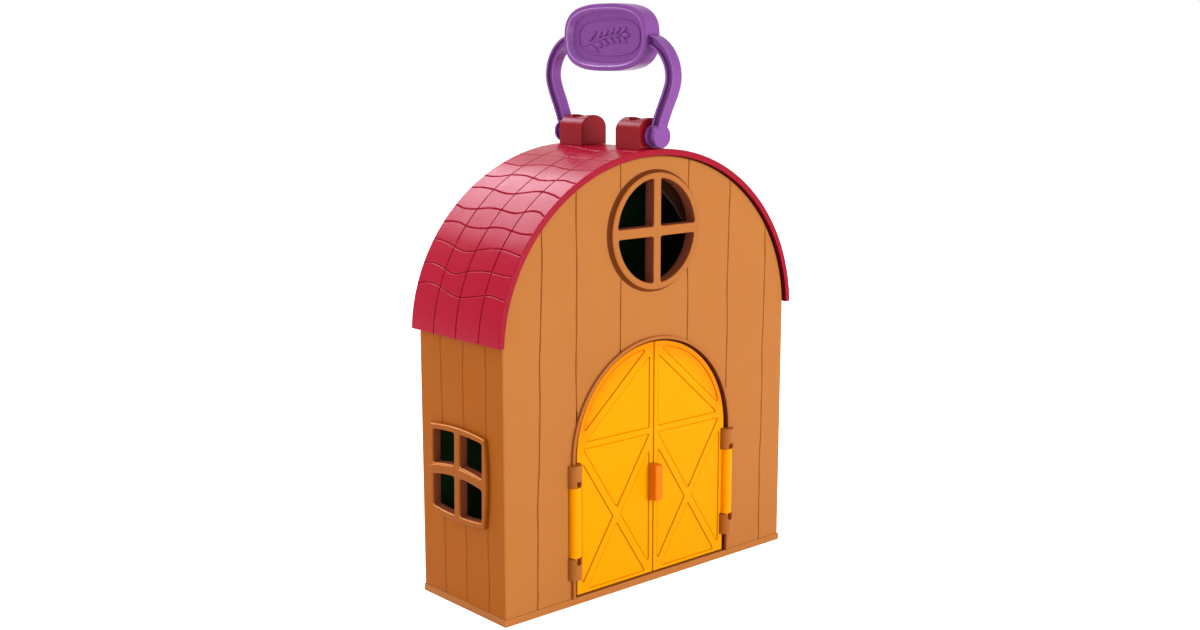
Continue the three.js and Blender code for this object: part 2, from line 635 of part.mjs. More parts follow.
// Right door: leaf with raised rims and braces, hinge barrel and stub pins
function doorSolid() {
  const body = extrudeFront(leafOutline(0), DOOR_FACE + RELIEF_DEPTH, DOOR_BACK, 2 * ROUND_STEPS);
  const outline = extrudeFront(leafOutline(0), DOOR_FACE, DOOR_BACK, 2 * ROUND_STEPS);
  const field = extrudeFront(leafOutline(RIM_WIDTH), DOOR_FACE - 1, DOOR_FACE + RELIEF_DEPTH, 2 * ROUND_STEPS);
  const rim = outline.subtract(field);
  const left = DOOR_INNER_EDGE + RIM_WIDTH;
  const right = DOOR_RADIUS - RIM_WIDTH;
  const low = DOOR_BOTTOM + RIM_WIDTH;
  const railTop = RAIL_BOTTOM + RAIL_HEIGHT;
  const crown = DOOR_SPRING + DOOR_RADIUS - RIM_WIDTH;
  let braces = brace([left, low], [right, RAIL_BOTTOM], BRACE_WIDTH);
  braces = braces.add(brace([left, RAIL_BOTTOM], [right, low], BRACE_WIDTH));
  braces = braces.add(brace([left, crown], [right, railTop], BRACE_WIDTH));
  braces = braces.add(brace([left, RAIL_BOTTOM + RAIL_HEIGHT / 2], [right, RAIL_BOTTOM + RAIL_HEIGHT / 2], RAIL_HEIGHT));
  let door = body.add(rim).add(braces.intersect(outline));
  const notch = HINGE_X - BRACKET_NOTCH;
  for (const bottom of [LOWER_BRACKET, UPPER_BRACKET]) {
    door = door.subtract(block(
      [notch, DOOR_FACE - 1, bottom - BRACKET_GAP],
      [HINGE_X, DOOR_BACK + 1, bottom + BRACKET_HEIGHT + BRACKET_GAP]));
  }
  const barrel = extrudeUp(disc(HINGE_X, HINGE_Y, BARREL_RADIUS), BARREL_BOTTOM, BARREL_TOP);
  const stubs = extrudeUp(disc(HINGE_X, HINGE_Y, STUB_RADIUS), BARREL_BOTTOM - STUB_LENGTH, BARREL_TOP + STUB_LENGTH, SMALL_STEPS);
  return door.add(barrel).add(stubs);
}

// Tongue of the right door behind the pull bar, grown by a given gap
function pullTongue(grow) {
  return block(
    [PULL_LEFT - grow, DOOR_FACE + (grow > 0 ? -1 : 0), PULL_BOTTOM - grow],
    [DOOR_INNER_EDGE + 1, DOOR_BACK + (grow > 0 ? 1 : 0), PULL_BOTTOM + PULL_HEIGHT + grow]);
}

// Both doors, each on its own hinge line
function makeDoors() {
  const right = doorSolid().add(pullTongue(0));
  const left = mirrored(doorSolid()).subtract(pullTongue(BRACKET_GAP));
  return [
    piece('door_right', right, MATERIALS.door, [HINGE_X, HINGE_Y, 0]),
    piece('door_left', left, MATERIALS.door, [-HINGE_X, HINGE_Y, 0]),
  ];
}

// Upright pull bar on the right door
function makePull() {
  const face = DOOR_FACE - FACE_GAP;
  const pull = block(
    [PULL_LEFT, FRONT - PULL_PROUD, PULL_BOTTOM],
    [PULL_LEFT + PULL_WIDTH, face, PULL_BOTTOM + PULL_HEIGHT]);
  return piece('door_pull', pull, MATERIALS.door, [HINGE_X, HINGE_Y, 0]);
}

// Hinge bracket with a round nose, a blind bore for the stub pin and a slot that shows the pin
function bracketSolid(bottom, barrelAbove) {
  const nose = new THREE.Shape();
  nose.moveTo(HINGE_X - BRACKET_RADIUS, FRONT - FACE_GAP);
  nose.lineTo(HINGE_X - BRACKET_RADIUS, HINGE_Y);
  nose.absarc(HINGE_X, HINGE_Y, BRACKET_RADIUS, Math.PI, 2 * Math.PI, false);
  nose.lineTo(HINGE_X + BRACKET_RADIUS, FRONT - FACE_GAP);
  nose.closePath();
  const top = bottom + BRACKET_HEIGHT;
  let bracket = extrudeUp(nose, bottom, top);
  bracket = bracket.add(block(
    [HINGE_X - BRACKET_RADIUS, FRONT - HINGE_PROUD, bottom],
    [HINGE_X - FIT_GAP, FRONT + WALL, top]));
  const depth = STUB_LENGTH - BRACKET_GAP + FIT_GAP;
  const span = barrelAbove ? [top - depth, top + 1] : [bottom - 1, bottom + depth];
  bracket = bracket.subtract(extrudeUp(disc(HINGE_X, HINGE_Y, STUB_RADIUS + STUB_CLEARANCE), span[0], span[1], SMALL_STEPS));
  const slot = barrelAbove ? [top - WINDOW_SLOT_HEIGHT, top + 1] : [bottom - 1, bottom + WINDOW_SLOT_HEIGHT];
  const half = WINDOW_SLOT_WIDTH / 2;
  return bracket.subtract(block(
    [HINGE_X - half, HINGE_Y - BRACKET_RADIUS - 1, slot[0]], [HINGE_X + half, HINGE_Y, slot[1]]));
}

// The four hinge brackets
function makeBrackets() {
  const levels = [['lower', LOWER_BRACKET, true], ['upper', UPPER_BRACKET, false]];
  return levels.flatMap(([level, bottom, barrelAbove]) => {
    const solid = bracketSolid(bottom, barrelAbove);
    return [
      piece(`hinge_bracket_right_${level}`, solid, MATERIALS.trim),
      piece(`hinge_bracket_left_${level}`, mirrored(solid), MATERIALS.trim),
    ];
  });
}

// Raised bead round the opening: an arch above the brackets and a foot below each side
function makeSurround() {
  const yFrom = FRONT - SURROUND_PROUD;
  const yTo = FRONT - FACE_GAP;
  const band = extrudeFront(openingOutline(SURROUND_WIDTH), yFrom, yTo)
    .subtract(extrudeFront(openingOutline(0), yFrom - 1, yTo + 1));
  const reach = OPENING_RADIUS + SURROUND_WIDTH + 1;
  const archBottom = UPPER_BRACKET + BRACKET_HEIGHT + BRACKET_GAP;
  const below = block([-reach, yFrom - 1, -THROUGH], [reach, yTo + 1, archBottom]);
  const arch = band.subtract(below);
  const foot = block(
    [OPENING_RADIUS, yFrom, SHELL_BOTTOM],
    [OPENING_RADIUS + SURROUND_WIDTH, yTo, LOWER_BRACKET - BRACKET_GAP]);
  return [
    piece('door_surround', arch, MATERIALS.trim),
    piece('surround_foot_right', foot, MATERIALS.trim),
    piece('surround_foot_left', mirrored(foot), MATERIALS.trim),
  ];
}

// One quarter pane of the round window
function quarterPane(signX, signZ) {
  const x = ROUND_UPRIGHT / 2;
  const z = ROUND_TRANSOM / 2;
  const radius = ROUND_PANE_RADIUS;
  const from = Math.asin(z / radius);
  const to = Math.acos(x / radius);
  const corners = [[x, z]];
  for (let i = 0; i <= PANE_STEPS; i += 1) {
    const angle = from + (to - from) * i / PANE_STEPS;
    corners.push([radius * Math.cos(angle), radius * Math.sin(angle)]);
  }
  return new THREE.Shape(corners.map(([a, b]) => new THREE.Vector2(signX * a, ROUND_WINDOW_HEIGHT + signZ * b)));
}

// Round window: flange on the wall, spigot through it, and the cross of bars
function makeRoundWindow() {
  const seat = FRONT - FACE_GAP;
  const rear = FRONT - ROUND_PROUD + ROUND_DEPTH;
  const flange = disc(0, ROUND_WINDOW_HEIGHT, ROUND_WINDOW_RADIUS);
  const spigot = disc(0, ROUND_WINDOW_HEIGHT, ROUND_PANE_RADIUS + ROUND_SPIGOT_WALL);
  let frame = extrudeFront(flange, FRONT - ROUND_PROUD, seat, 2 * ROUND_STEPS);
  frame = frame.add(extrudeFront(spigot, seat - FACE_GAP, rear, 2 * ROUND_STEPS));
  for (const signX of [-1, 1]) {
    for (const signZ of [-1, 1]) {
      frame = frame.subtract(extrudeFront(quarterPane(signX, signZ), FRONT - THROUGH, rear + 1));
    }
  }
  return piece('round_window_frame', frame, MATERIALS.trim);
}

// Side window: bowed flange, spigot through the wall, and four panes
function sideWindowSolid() {
  const halfUpright = SIDE_UPRIGHT / 2;
  const paneSide = SIDE_HALF_WIDTH - SIDE_BORDER;
  const paneTop = SIDE_HALF_HEIGHT - SIDE_BORDER;
  const transomLow = SIDE_TRANSOM_RISE - SIDE_TRANSOM / 2;
  const transomHigh = SIDE_TRANSOM_RISE + SIDE_TRANSOM / 2;
  const rear = SIDE_DEPTH - SIDE_PROUD;
  let frame = extrudeFront(sideOutline(0), -SIDE_PROUD, -FACE_GAP, SMALL_STEPS);
  frame = frame.add(extrudeFront(sideOutline(SIDE_SPIGOT_INSET), -2 * FACE_GAP, rear, SMALL_STEPS));
  for (const [left, right] of [[-paneSide, -halfUpright], [halfUpright, paneSide]]) {
    frame = frame.subtract(block([left, -THROUGH, -paneTop], [right, rear + 1, transomLow]));
    frame = frame.subtract(block([left, -THROUGH, transomHigh], [right, rear + 1, paneTop]));
  }
  return frame;
}

// Left and right side windows
function makeSideWindows() {
  const solid = sideWindowSolid();
  return [['side_window_frame_left', -1], ['side_window_frame_right', 1]].map(
    ([name, side]) => piece(name, onSideWall(solid, side), MATERIALS.trim));
}

// Finger notch in the crown of the rear panel
const fingerNotch = (yFrom, yTo, grow) => extrudeFront(disc(0, PANEL_TOP, PANEL_NOTCH_RADIUS + grow), yFrom, yTo);

// Rear panel with two clips that snap over the hinge bars
function makeRearPanel() {
  let panel = extrudeFront(
    archOutline(PANEL_HALF, PANEL_BOTTOM, WALL_HEIGHT, PANEL_RISE), PANEL_INNER, PANEL_OUTER, 2 * ARCH_STEPS);
  panel = panel.subtract(fingerNotch(PANEL_INNER - 1, PANEL_OUTER + 1, 0));
  const half = REAR_CLIP_WIDTH / 2 + REAR_EAR_WIDTH + REAR_CLIP_CLEARANCE;
  const clear = REAR_HINGE_HEIGHT + REAR_EAR_RADIUS + REAR_SWEEP_GAP;
  const clipHalf = REAR_CLIP_WIDTH / 2 - REAR_CLIP_CLEARANCE;
  const web = rectangle(REAR_HINGE_Y - CLIP_OUTER, REAR_HINGE_HEIGHT, REAR_HINGE_Y, clear + 1);
  for (const x of [-REAR_HINGE_SPREAD, REAR_HINGE_SPREAD]) {
    panel = panel.subtract(block([x - half, PANEL_INNER - 1, PANEL_BOTTOM - 1], [x + half, PANEL_OUTER + 1, clear]));
    panel = panel.add(extrudeSide(web, x - clipHalf, x + clipHalf));
    panel = panel.add(extrudeSide(disc(REAR_HINGE_Y, REAR_HINGE_HEIGHT, CLIP_OUTER), x - clipHalf, x + clipHalf, SMALL_STEPS));
    panel = panel.subtract(extrudeSide(disc(REAR_HINGE_Y, REAR_HINGE_HEIGHT, CLIP_BORE), x - half, x + half, SMALL_STEPS));
    const mouth = rectangle(REAR_HINGE_Y, REAR_HINGE_HEIGHT - CLIP_BORE / 2, REAR_HINGE_Y + 2 * CLIP_OUTER, REAR_HINGE_HEIGHT + CLIP_BORE / 2);
    panel = panel.subtract(extrudeSide(mouth, x - half, x + half));
  }
  return piece('rear_panel', panel, MATERIALS.wall, [0, REAR_HINGE_Y, REAR_HINGE_HEIGHT]);
}

// Green yard sheet on the inside of the rear panel, with a raised rim
function makeLiner() {
  const outline = (inset) => archOutline(
    PANEL_HALF - LINER_MARGIN - inset, LINER_BOTTOM + inset, WALL_HEIGHT, PANEL_RISE - LINER_MARGIN - inset);
  let liner = extrudeFront(outline(0), LINER_INNER - LINER_RIM_HEIGHT, LINER_OUTER, 2 * ARCH_STEPS);
  liner = liner.subtract(extrudeFront(outline(LINER_RIM), LINER_INNER - 2 * LINER_RIM_HEIGHT, LINER_INNER, 2 * ARCH_STEPS));
  liner = liner.subtract(fingerNotch(LINER_INNER - 2 * LINER_RIM_HEIGHT, LINER_OUTER + 1, LINER_MARGIN));
  return piece('yard_liner', liner, MATERIALS.yard, [0, REAR_HINGE_Y, REAR_HINGE_HEIGHT]);
}

// Screws below the floor and in the lug wells
function makeScrews() {
  const seat = SCREW_HEAD_HEIGHT + FIT_GAP;
  const floorScrews = FLOOR_SCREWS.map(([place, x, y]) => makeScrew(
    `floor_screw_${place}`, x, y, seat, SCREW_LENGTH, 1));
  const lugSeat = LUG_WELL_FLOOR + FACE_GAP;
  return [
    ...floorScrews,
    makeScrew('lug_screw_front', 0, -LUG_CENTRE, lugSeat, LUG_SCREW_LENGTH, -1),
    makeScrew('lug_screw_rear', 0, LUG_CENTRE, lugSeat, LUG_SCREW_LENGTH, -1),
  ];
}

const barn = new THREE.Group();
barn.add(makeShell());
barn.add(makeFloor());
barn.add(makeRoof());
barn.add(makeLug('roof_lug_front', -1));
barn.add(makeLug('roof_lug_rear', 1));
barn.add(makeHandle());
barn.add(...makeDoors());
barn.add(makePull());
barn.add(...makeBrackets());
barn.add(...makeSurround());
barn.add(makeRoundWindow());
barn.add(...makeSideWindows());
barn.add(makeRearPanel());
barn.add(makeLiner());
barn.add(...makeScrews());

export default barn;
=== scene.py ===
import math

import bmesh
import bpy
from mathutils import Matrix, Vector


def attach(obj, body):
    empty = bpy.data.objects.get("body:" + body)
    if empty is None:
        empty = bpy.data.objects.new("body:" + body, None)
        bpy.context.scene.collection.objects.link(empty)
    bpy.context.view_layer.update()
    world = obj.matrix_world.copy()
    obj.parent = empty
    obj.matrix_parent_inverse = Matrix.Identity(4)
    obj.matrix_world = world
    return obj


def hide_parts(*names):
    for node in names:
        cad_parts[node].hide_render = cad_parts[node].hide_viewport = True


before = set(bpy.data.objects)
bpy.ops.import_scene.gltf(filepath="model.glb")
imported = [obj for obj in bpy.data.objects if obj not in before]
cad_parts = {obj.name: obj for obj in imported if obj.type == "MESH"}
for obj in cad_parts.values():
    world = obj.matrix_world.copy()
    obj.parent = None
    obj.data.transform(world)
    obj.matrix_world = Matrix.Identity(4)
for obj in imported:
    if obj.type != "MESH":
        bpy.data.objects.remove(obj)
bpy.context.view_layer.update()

# Everything is modelled in millimetres in the CAD frame and brought to metres when a piece is finished
MM = 0.001

# Body of the barn; BEYOND is how far a cutter runs past what it cuts
FRONT = -37.8
REAR = 37.8
HALF_WIDTH = 110.0
WALL = 2.8
WALL_TOP = 150.0
ARCH_RISE = 100.0
SHELL_BOTTOM = 4.1
BEYOND = 10
SIDES = ((-1, "left"), (1, "right"))

# Engraved plank seams: the foot and the head of each one, its sway and its phase
SEAM_WIDTH = 0.95
SEAM_DEPTH = 0.75
FRONT_SEAMS = [
    (-88.0, -82.7, 0.35, 0.4), (-59.4, -58.6, 0.25, 1.7), (-26.4, -26.4, 0.3, 2.9),
    (26.6, 26.2, 0.3, 4.3), (59.2, 60.6, 0.35, 5.2), (91.6, 92.8, 0.3, 0.9)]
SIDE_SEAMS = [(17.0, 18.2, 0.3, 0.5), (-3.0, -2.2, 0.3, 2.2), (-23.3, -22.5, 0.3, 3.9)]
PANEL_SEAMS = (-84.0, -56.0, -28.5, 0.0, 28.0, 57.0, 85.0)

# Doorway, with the lip and the sill that the leaves close against; sections are (distance from its middle, depth)
OPENING_R = 61.0
OPENING_SPRING = 83.9
STOP_FACE = -34.75
STOP_BACK = -33.7
STOP = [(57.8, STOP_FACE), (60.9, STOP_FACE), (61.4, -35.2), (63.6, -35.2), (63.6, STOP_BACK), (57.8, STOP_BACK)]
SILL_HALF = 60.0
SILL_TOP = 6.3
BEAD_WIDTH = 2.0
BEAD_PROUD = 1.7

# Bosses for the screws and stops for the rear panel, inside the side walls
FLOOR_BOSSES = (-28.0, 14.3)
PANEL_STOPS = (50.0, 132.0)
BOSS_HALF = 4

# Roof
ROOF_HALF = 114.3
ROOF_RISE = 103.9
ROOF_THICK = 3.6
ROOF_FRONT = -40.15
ROOF_REAR = 40.15
EAVE = 154.7

# Doors: the notches round the brackets, and the sunk fields with a groove along their edge
LEAF_R = 58.7
LEAF_SPRING = 85.0
LEAF_BOTTOM = 5.2
LEAF_FACE = -37.7
LEAF_BACK = -34.9
NOTCH_IN = 56.2
SPLIT = 0.4
HINGE_X = 61.0
HINGE_Y = -38.0
BARREL_LOW = 28.5
BARREL_HIGH = 69.3
BARREL_R = 3.6
LOWER_BRACKET = 15.4
UPPER_BRACKET = 82.4
FIELD_DEPTH = 0.42
FIELD_DRAFT = 0.16
GROOVE_WIDTH = 0.46
GROOVE_FLOOR = 0.95
BRACE_WIDTH = 4.3
PULL_LEFT = -3.4
PULL_LOW = 50.0
PULL_HIGH = 71.4

# Windows
ROUND_X = -0.8
ROUND_Z = 207.7
ROUND_BAR = 2.8
SIDE_Z = 77.4
SIDE_BOW = 1.9
PANE_IN = 2.7
PANE_OUT = 22.5

# Ridge lugs and handle
PIVOT_Z = 260.9
LUG_IN = 14.5
LUG_OUT = 34.8
LUG_MIDDLE = (LUG_IN + LUG_OUT) / 2
LUG_HALF = 9.7
LUG_WELL = 6.2
WELL_FLOOR = 266.0
SCREW_HOLE = 1.35
EYE_IN = 35.1
EYE_OUT = 43.3
EYE_R = 6.5
ARM_PATH = [
    (39.3, PIVOT_Z), (41.4, 268.6), (45.0, 276.6), (49.0, 284.6), (51.5, 292.4), (50.3, 300.4), (45.8, 307.4),
    (39.6, 312.0), (32.0, 314.6)]
PLAQUE_Z = 315.5
PLAQUE_LONG = 35.0
PLAQUE_TALL = 19.0
PLAQUE_SQUARENESS = 2.8

# Rear panel and yard sheet
PANEL_IN = 32.7
PANEL_OUT = 35.2
PANEL_HALF = 106.6
PANEL_RISE = 96.6
PANEL_HINGE = (35.6, 2.9)
CLIPS = (-60, 60)
SHEET_IN = 28.9
SHEET_OUT = 32.6
SHEET_RIM = 3.0


# ---- Solids

def face_from(bm, corners):
    """One face from its corners."""
    return bm.faces.new([bm.verts.new(corner) for corner in corners])


def pushed(corners, push):
    """Solid that a face makes when it is pushed along a vector."""
    bm = bmesh.new()
    made = bmesh.ops.extrude_face_region(bm, geom=[face_from(bm, corners)])
    tops = [part for part in made["geom"] if isinstance(part, bmesh.types.BMVert)]
    bmesh.ops.translate(bm, verts=tops, vec=push)
    bmesh.ops.recalc_face_normals(bm, faces=bm.faces)
    return bm


def prism(points, y_from, y_to):
    """Solid with an outline in the front view, from one depth to another."""
    return pushed([(x, y_from, z) for x, z in points], (0, y_to - y_from, 0))


def block(corner, opposite):
    """Plain box between two opposite corners."""
    spans = [sorted(pair) for pair in zip(corner, opposite)]
    bm = bmesh.new()
    bmesh.ops.create_cube(bm, size=1.0)
    bmesh.ops.scale(bm, vec=[high - low for low, high in spans], verts=bm.verts)
    bmesh.ops.translate(bm, vec=[(low + high) / 2 for low, high in spans], verts=bm.verts)
    return bm


def rod(radius, start, end, axis, centre, steps=48):
    """Round bar along X, Y or Z; centre gives its other two coordinates, in X, Y, Z order."""
    bm = bmesh.new()
    bmesh.ops.create_cone(
        bm, cap_ends=True, cap_tris=False, segments=steps,
        radius1=radius, radius2=radius, depth=end - start)
    spot = list(centre)
    spot.insert("XYZ".index(axis), (start + end) / 2)
    place = Matrix.Translation(spot)
    if axis != "Z":
        place = place @ Matrix.Rotation(math.pi / 2, 4, "X" if axis == "Y" else "Y")
    bmesh.ops.transform(bm, matrix=place, verts=bm.verts)
    return bm


def swept(stations):
    """Extrude a closed section through a list of stations; each station gives every corner's place."""
    bm = bmesh.new()
    face = face_from(bm, stations[0])
    order = bm.verts.layers.int.new("order")
    for i, vert in enumerate(bm.verts):
        vert[order] = i
    for count, station in enumerate(stations[1:]):
        made = bmesh.ops.extrude_face_region(bm, geom=[face])
        if count:
            bmesh.ops.delete(bm, geom=[face], context="FACES_ONLY")
        face = [part for part in made["geom"] if isinstance(part, bmesh.types.BMFace)][0]
        for vert in face.verts:
            vert.co = station[vert[order]]
    bmesh.ops.recalc_face_normals(bm, faces=bm.faces)
    return bm


def together(first, *others):
    """Several separate solids in one bmesh."""
    for other in others:
        spare = bpy.data.meshes.new("spare")
        other.to_mesh(spare)
        other.free()
        first.from_mesh(spare)
        bpy.data.meshes.remove(spare)
    return first


def placed(name, data):
    """Object in the scene that holds some data."""
    obj = bpy.data.objects.new(name, data)
    bpy.context.scene.collection.objects.link(obj)
    return obj


def made_object(bm, name):
    """Object in the scene that takes over a bmesh."""
    mesh = bpy.data.meshes.new(name)
    bm.to_mesh(mesh)
    bm.free()
    return placed(name, mesh)


def combined(bm, operation, tools):
    """Cut or join solids in turn, and merge what the cuts leave level."""
    helpers = [made_object(solid, "work") for solid in (bm, *tools)]
    body = helpers[0]
    for helper in helpers[1:]:
        change = body.modifiers.new("change", "BOOLEAN")
        change.operation = operation
        change.solver = "EXACT"
        change.object = helper
    graph = bpy.context.evaluated_depsgraph_get()
    result = bpy.data.meshes.new_from_object(body.evaluated_get(graph))
    out = bmesh.new()
    out.from_mesh(result)
    bpy.data.meshes.remove(result)
    for helper in helpers:
        spare = helper.data
        bpy.data.objects.remove(helper)
        bpy.data.meshes.remove(spare)
    bmesh.ops.remove_doubles(out, verts=out.verts, dist=1e-4)
    bmesh.ops.dissolve_degenerate(out, dist=1e-4, edges=out.edges)
    return levelled(out, 0.3)


def levelled(bm, degrees):
    """Merge faces that meet at less than some degrees."""
    bmesh.ops.dissolve_limit(
        bm, angle_limit=math.radians(degrees), use_dissolve_boundaries=False,
        verts=bm.verts, edges=bm.edges, delimit={"NORMAL"})
    return bm


def carved(bm, *cutters):
    return combined(bm, "DIFFERENCE", cutters)


def joined(bm, *others):
    return combined(bm, "UNION", others)


def soften(bm, size, segments=3, least=30, where=None):
    """Round the edges that turn by more than some degrees, and whose middle the test accepts."""
    edges = [
        edge for edge in bm.edges
        if len(edge.link_faces) == 2 and edge.calc_face_angle() >= math.radians(least)
        and (where is None or where((edge.verts[0].co + edge.verts[1].co) / 2))]
    bmesh.ops.bevel(
        bm, geom=edges, offset=size, offset_type="OFFSET", segments=segments, profile=0.5,
        affect="EDGES", clamp_overlap=True, loop_slide=True, material=-1)
    return bm


def flipped(bm):
    """Mirror in the X = 0 plane."""
    bmesh.ops.scale(bm, vec=(-1, 1, 1), verts=bm.verts)
    bmesh.ops.reverse_faces(bm, faces=bm.faces)
    return bm


def half_turned(bm):
    """Half a turn about the upright axis."""
    bmesh.ops.rotate(bm, cent=(0, 0, 0), matrix=Matrix.Rotation(math.pi, 3, "Z"), verts=bm.verts)
    return bm


def paint(bm, plastic_number, test):
    """Give another of a piece's plastics to the faces whose middle and normal the test accepts."""
    for face in bm.faces:
        if test(face.calc_center_median(), face.normal):
            face.material_index = plastic_number


def finish(name, bm, plastics, body, replaces=(), smooth=32):
    """Bring a piece to metres, give it its plastics and let it ride on its body."""
    bmesh.ops.scale(bm, vec=(MM, MM, MM), verts=bm.verts)
    obj = made_object(bm, name)
    mesh = obj.data
    for plastic in plastics:
        mesh.materials.append(bpy.data.materials[plastic + "_plastic"])
    for polygon in mesh.polygons:
        polygon.use_smooth = True
    mesh.set_sharp_from_angle(angle=math.radians(smooth))
    weighted = obj.modifiers.new("even_shading", "WEIGHTED_NORMAL")
    weighted.keep_sharp = True
    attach(obj, body)
    if replaces:
        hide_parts(*replaces)


# ---- Outlines

def evenly(start, end, steps):
    """Numbers in equal steps from the start to the end, both included."""
    return [start + (end - start) * k / steps for k in range(steps + 1)]


def arc(cx, cz, rx, rz, start, end, steps):
    """Points on an ellipse from one angle to another, in degrees, both ends included."""
    turns = [math.radians(degrees) for degrees in evenly(start, end, steps)]
    return [(cx + rx * math.cos(turn), cz + rz * math.sin(turn)) for turn in turns]


def arch(half, bottom, spring, rise, steps=72):
    """Upright sides and a half ellipse on top."""
    return [(-half, bottom), (half, bottom)] + arc(0, spring, half, rise, 0, 180, steps)


def rounded(points, radius, steps=4):
    """Polygon with its corners rounded."""
    out = []
    count = len(points)
    for i, here in enumerate(points):
        here = Vector(here)
        back = Vector(points[i - 1]) - here
        ahead = Vector(points[(i + 1) % count]) - here
        half = back.angle(ahead) / 2
        reach = min(radius / math.tan(half), back.length * 0.45, ahead.length * 0.45)
        size = reach * math.tan(half)
        start = here + back.normalized() * reach
        end = here + ahead.normalized() * reach
        centre = here + (back.normalized() + ahead.normalized()).normalized() * (size / math.sin(half))
        first = start - centre
        turn = first.angle_signed(end - centre)
        for k in range(steps + 1):
            a = -turn * k / steps
            out.append((
                centre.x + first.x * math.cos(a) - first.y * math.sin(a),
                centre.y + first.x * math.sin(a) + first.y * math.cos(a)))
    return out


def trimmed_corners(points, radius):
    """Round the corners of an outline that turn sharply, and keep its gentle curves."""
    out = []
    count = len(points)
    for i, here in enumerate(points):
        p = Vector(here)
        back = Vector(points[i - 1]) - p
        ahead = Vector(points[(i + 1) % count]) - p
        if back.angle(ahead) > math.radians(150):
            out.append(here)
            continue
        reach = min(radius, back.length * 0.8, ahead.length * 0.8)
        a = p + back.normalized() * reach
        b = p + ahead.normalized() * reach
        for t in (0, 0.25, 0.5, 0.75, 1):
            q = a * (1 - t) ** 2 + p * 2 * t * (1 - t) + b * t * t
            out.append((q.x, q.y))
    return out


# ---- Materials

def feed(tree, node, inputs):
    """Give each named input of a node its value, or the socket that feeds it."""
    for key, value in inputs.items():
        if isinstance(value, bpy.types.NodeSocket):
            tree.links.new(value, node.inputs[key])
        else:
            node.inputs[key].default_value = value
    return node


def add_node(tree, kind, inputs, **settings):
    """New shader node with its settings and inputs."""
    node = tree.nodes.new(kind if kind.startswith("NodeGroup") else "ShaderNode" + kind)
    for key, value in settings.items():
        setattr(node, key, value)
    return feed(tree, node, inputs)


def maths(tree, operation, *values):
    return add_node(tree, "Math", dict(enumerate(values)), operation=operation).outputs[0]


def moulded_group():
    """Moulded plastic: faint mottling of the colour, a fine mould grain and uneven gloss."""
    group = bpy.data.node_groups.new("moulded_surface", "ShaderNodeTree")
    for in_out, label, kind in (
            ("INPUT", "Colour", "Color"), ("INPUT", "Shade", "Color"), ("INPUT", "Roughness", "Float"),
            ("INPUT", "Grain", "Float"), ("INPUT", "Mottling", "Float"),
            ("OUTPUT", "Colour", "Color"), ("OUTPUT", "Roughness", "Float"), ("OUTPUT", "Normal", "Vector")):
        group.interface.new_socket(label, in_out=in_out, socket_type="NodeSocket" + kind)
    given = group.nodes.new("NodeGroupInput").outputs
    place = add_node(group, "TexCoord", {}).outputs["Object"]

    def noise(scale, detail):
        return add_node(group, "TexNoise", {"Scale": scale, "Detail": detail, "Vector": place}).outputs["Fac"]

    def ranged(value, low, high):
        return add_node(group, "MapRange", {
            "Value": value, "From Min": 0.3, "From Max": 0.7, "To Min": low, "To Max": high}).outputs["Result"]

    clouds = maths(group, "MULTIPLY", ranged(noise(14.0, 3.0), 0.0, 1.0), given["Mottling"])
    colour = add_node(
        group, "Mix", {"Factor": clouds, "A": given["Colour"], "B": given["Shade"]}, data_type="RGBA")
    gloss = maths(group, "ADD", given["Roughness"], ranged(noise(55.0, 4.0), -0.035, 0.045))
    grain = maths(group, "MULTIPLY", noise(2600.0, 2.0), given["Grain"])
    waves = maths(group, "MULTIPLY_ADD", noise(70.0, 1.0), 1.6, grain)
    bump = add_node(group, "Bump", {"Strength": 0.12, "Distance": 0.0002, "Height": waves})
    add_node(group, "NodeGroupOutput", {
        "Colour": colour.outputs["Result"], "Roughness": gloss, "Normal": bump.outputs["Normal"]})
    return group


def near_arch_group():
    """Mask of the painted shade on the leaves: how close a spot of a leaf is to the arch over it, 0 on the open
    field, most at the arch.
    """
    group = bpy.data.node_groups.new("arch_shade_mask", "ShaderNodeTree")
    group.interface.new_socket("Amount", in_out="OUTPUT", socket_type="NodeSocketFloat")
    flat = add_node(group, "VectorMath", {
        0: add_node(group, "TexCoord", {}).outputs["Object"], 1: (1.0, 0.0, 1.0),
        2: (0.0, 0.0, -LEAF_SPRING * MM)}, operation="MULTIPLY_ADD").outputs["Vector"]
    reach = add_node(group, "VectorMath", {0: flat}, operation="LENGTH").outputs["Value"]
    height = add_node(group, "SeparateXYZ", {0: flat}).outputs["Z"]

    def smooth(value, low, high, top):
        return add_node(group, "MapRange", {
            "Value": value, "From Min": low, "From Max": high, "To Max": top},
            interpolation_type="SMOOTHSTEP").outputs["Result"]

    amount = maths(group, "MULTIPLY", smooth(reach, 0.044, 0.0592, 0.75), smooth(height, -0.004, 0.02, 1.0))
    add_node(group, "NodeGroupOutput", {"Amount": amount})
    return group


MOULDED = moulded_group()
NEAR_ARCH = near_arch_group()


def linear(*screen):
    """Screen colour, 0 to 255, as scene-linear."""
    def one(value):
        value /= 255.0
        return value / 12.92 if value <= 0.04045 else ((value + 0.055) / 1.055) ** 2.4
    return (*map(one, screen), 1.0)


def new_material(name):
    material = bpy.data.materials.new(name)
    material.use_nodes = True
    return material, material.node_tree, material.node_tree.nodes["Principled BSDF"]


def surface(name, colour, shade, roughness, grain, mottling, gloss, tint=(1, 1, 1), metallic=0.0):
    """Surface of a piece: its colour with faint clouds of a darker shade; the tint colours its gloss."""
    material, tree, shader = new_material(name)
    moulded = add_node(tree, "Group", {
        "Colour": linear(*colour), "Shade": linear(*shade), "Roughness": roughness, "Grain": grain,
        "Mottling": mottling}, node_tree=MOULDED).outputs
    feed(tree, shader, {
        "Base Color": moulded["Colour"], "Roughness": moulded["Roughness"], "Normal": moulded["Normal"],
        "Specular IOR Level": gloss, "Specular Tint": (*tint, 1), "Metallic": metallic})
    return material


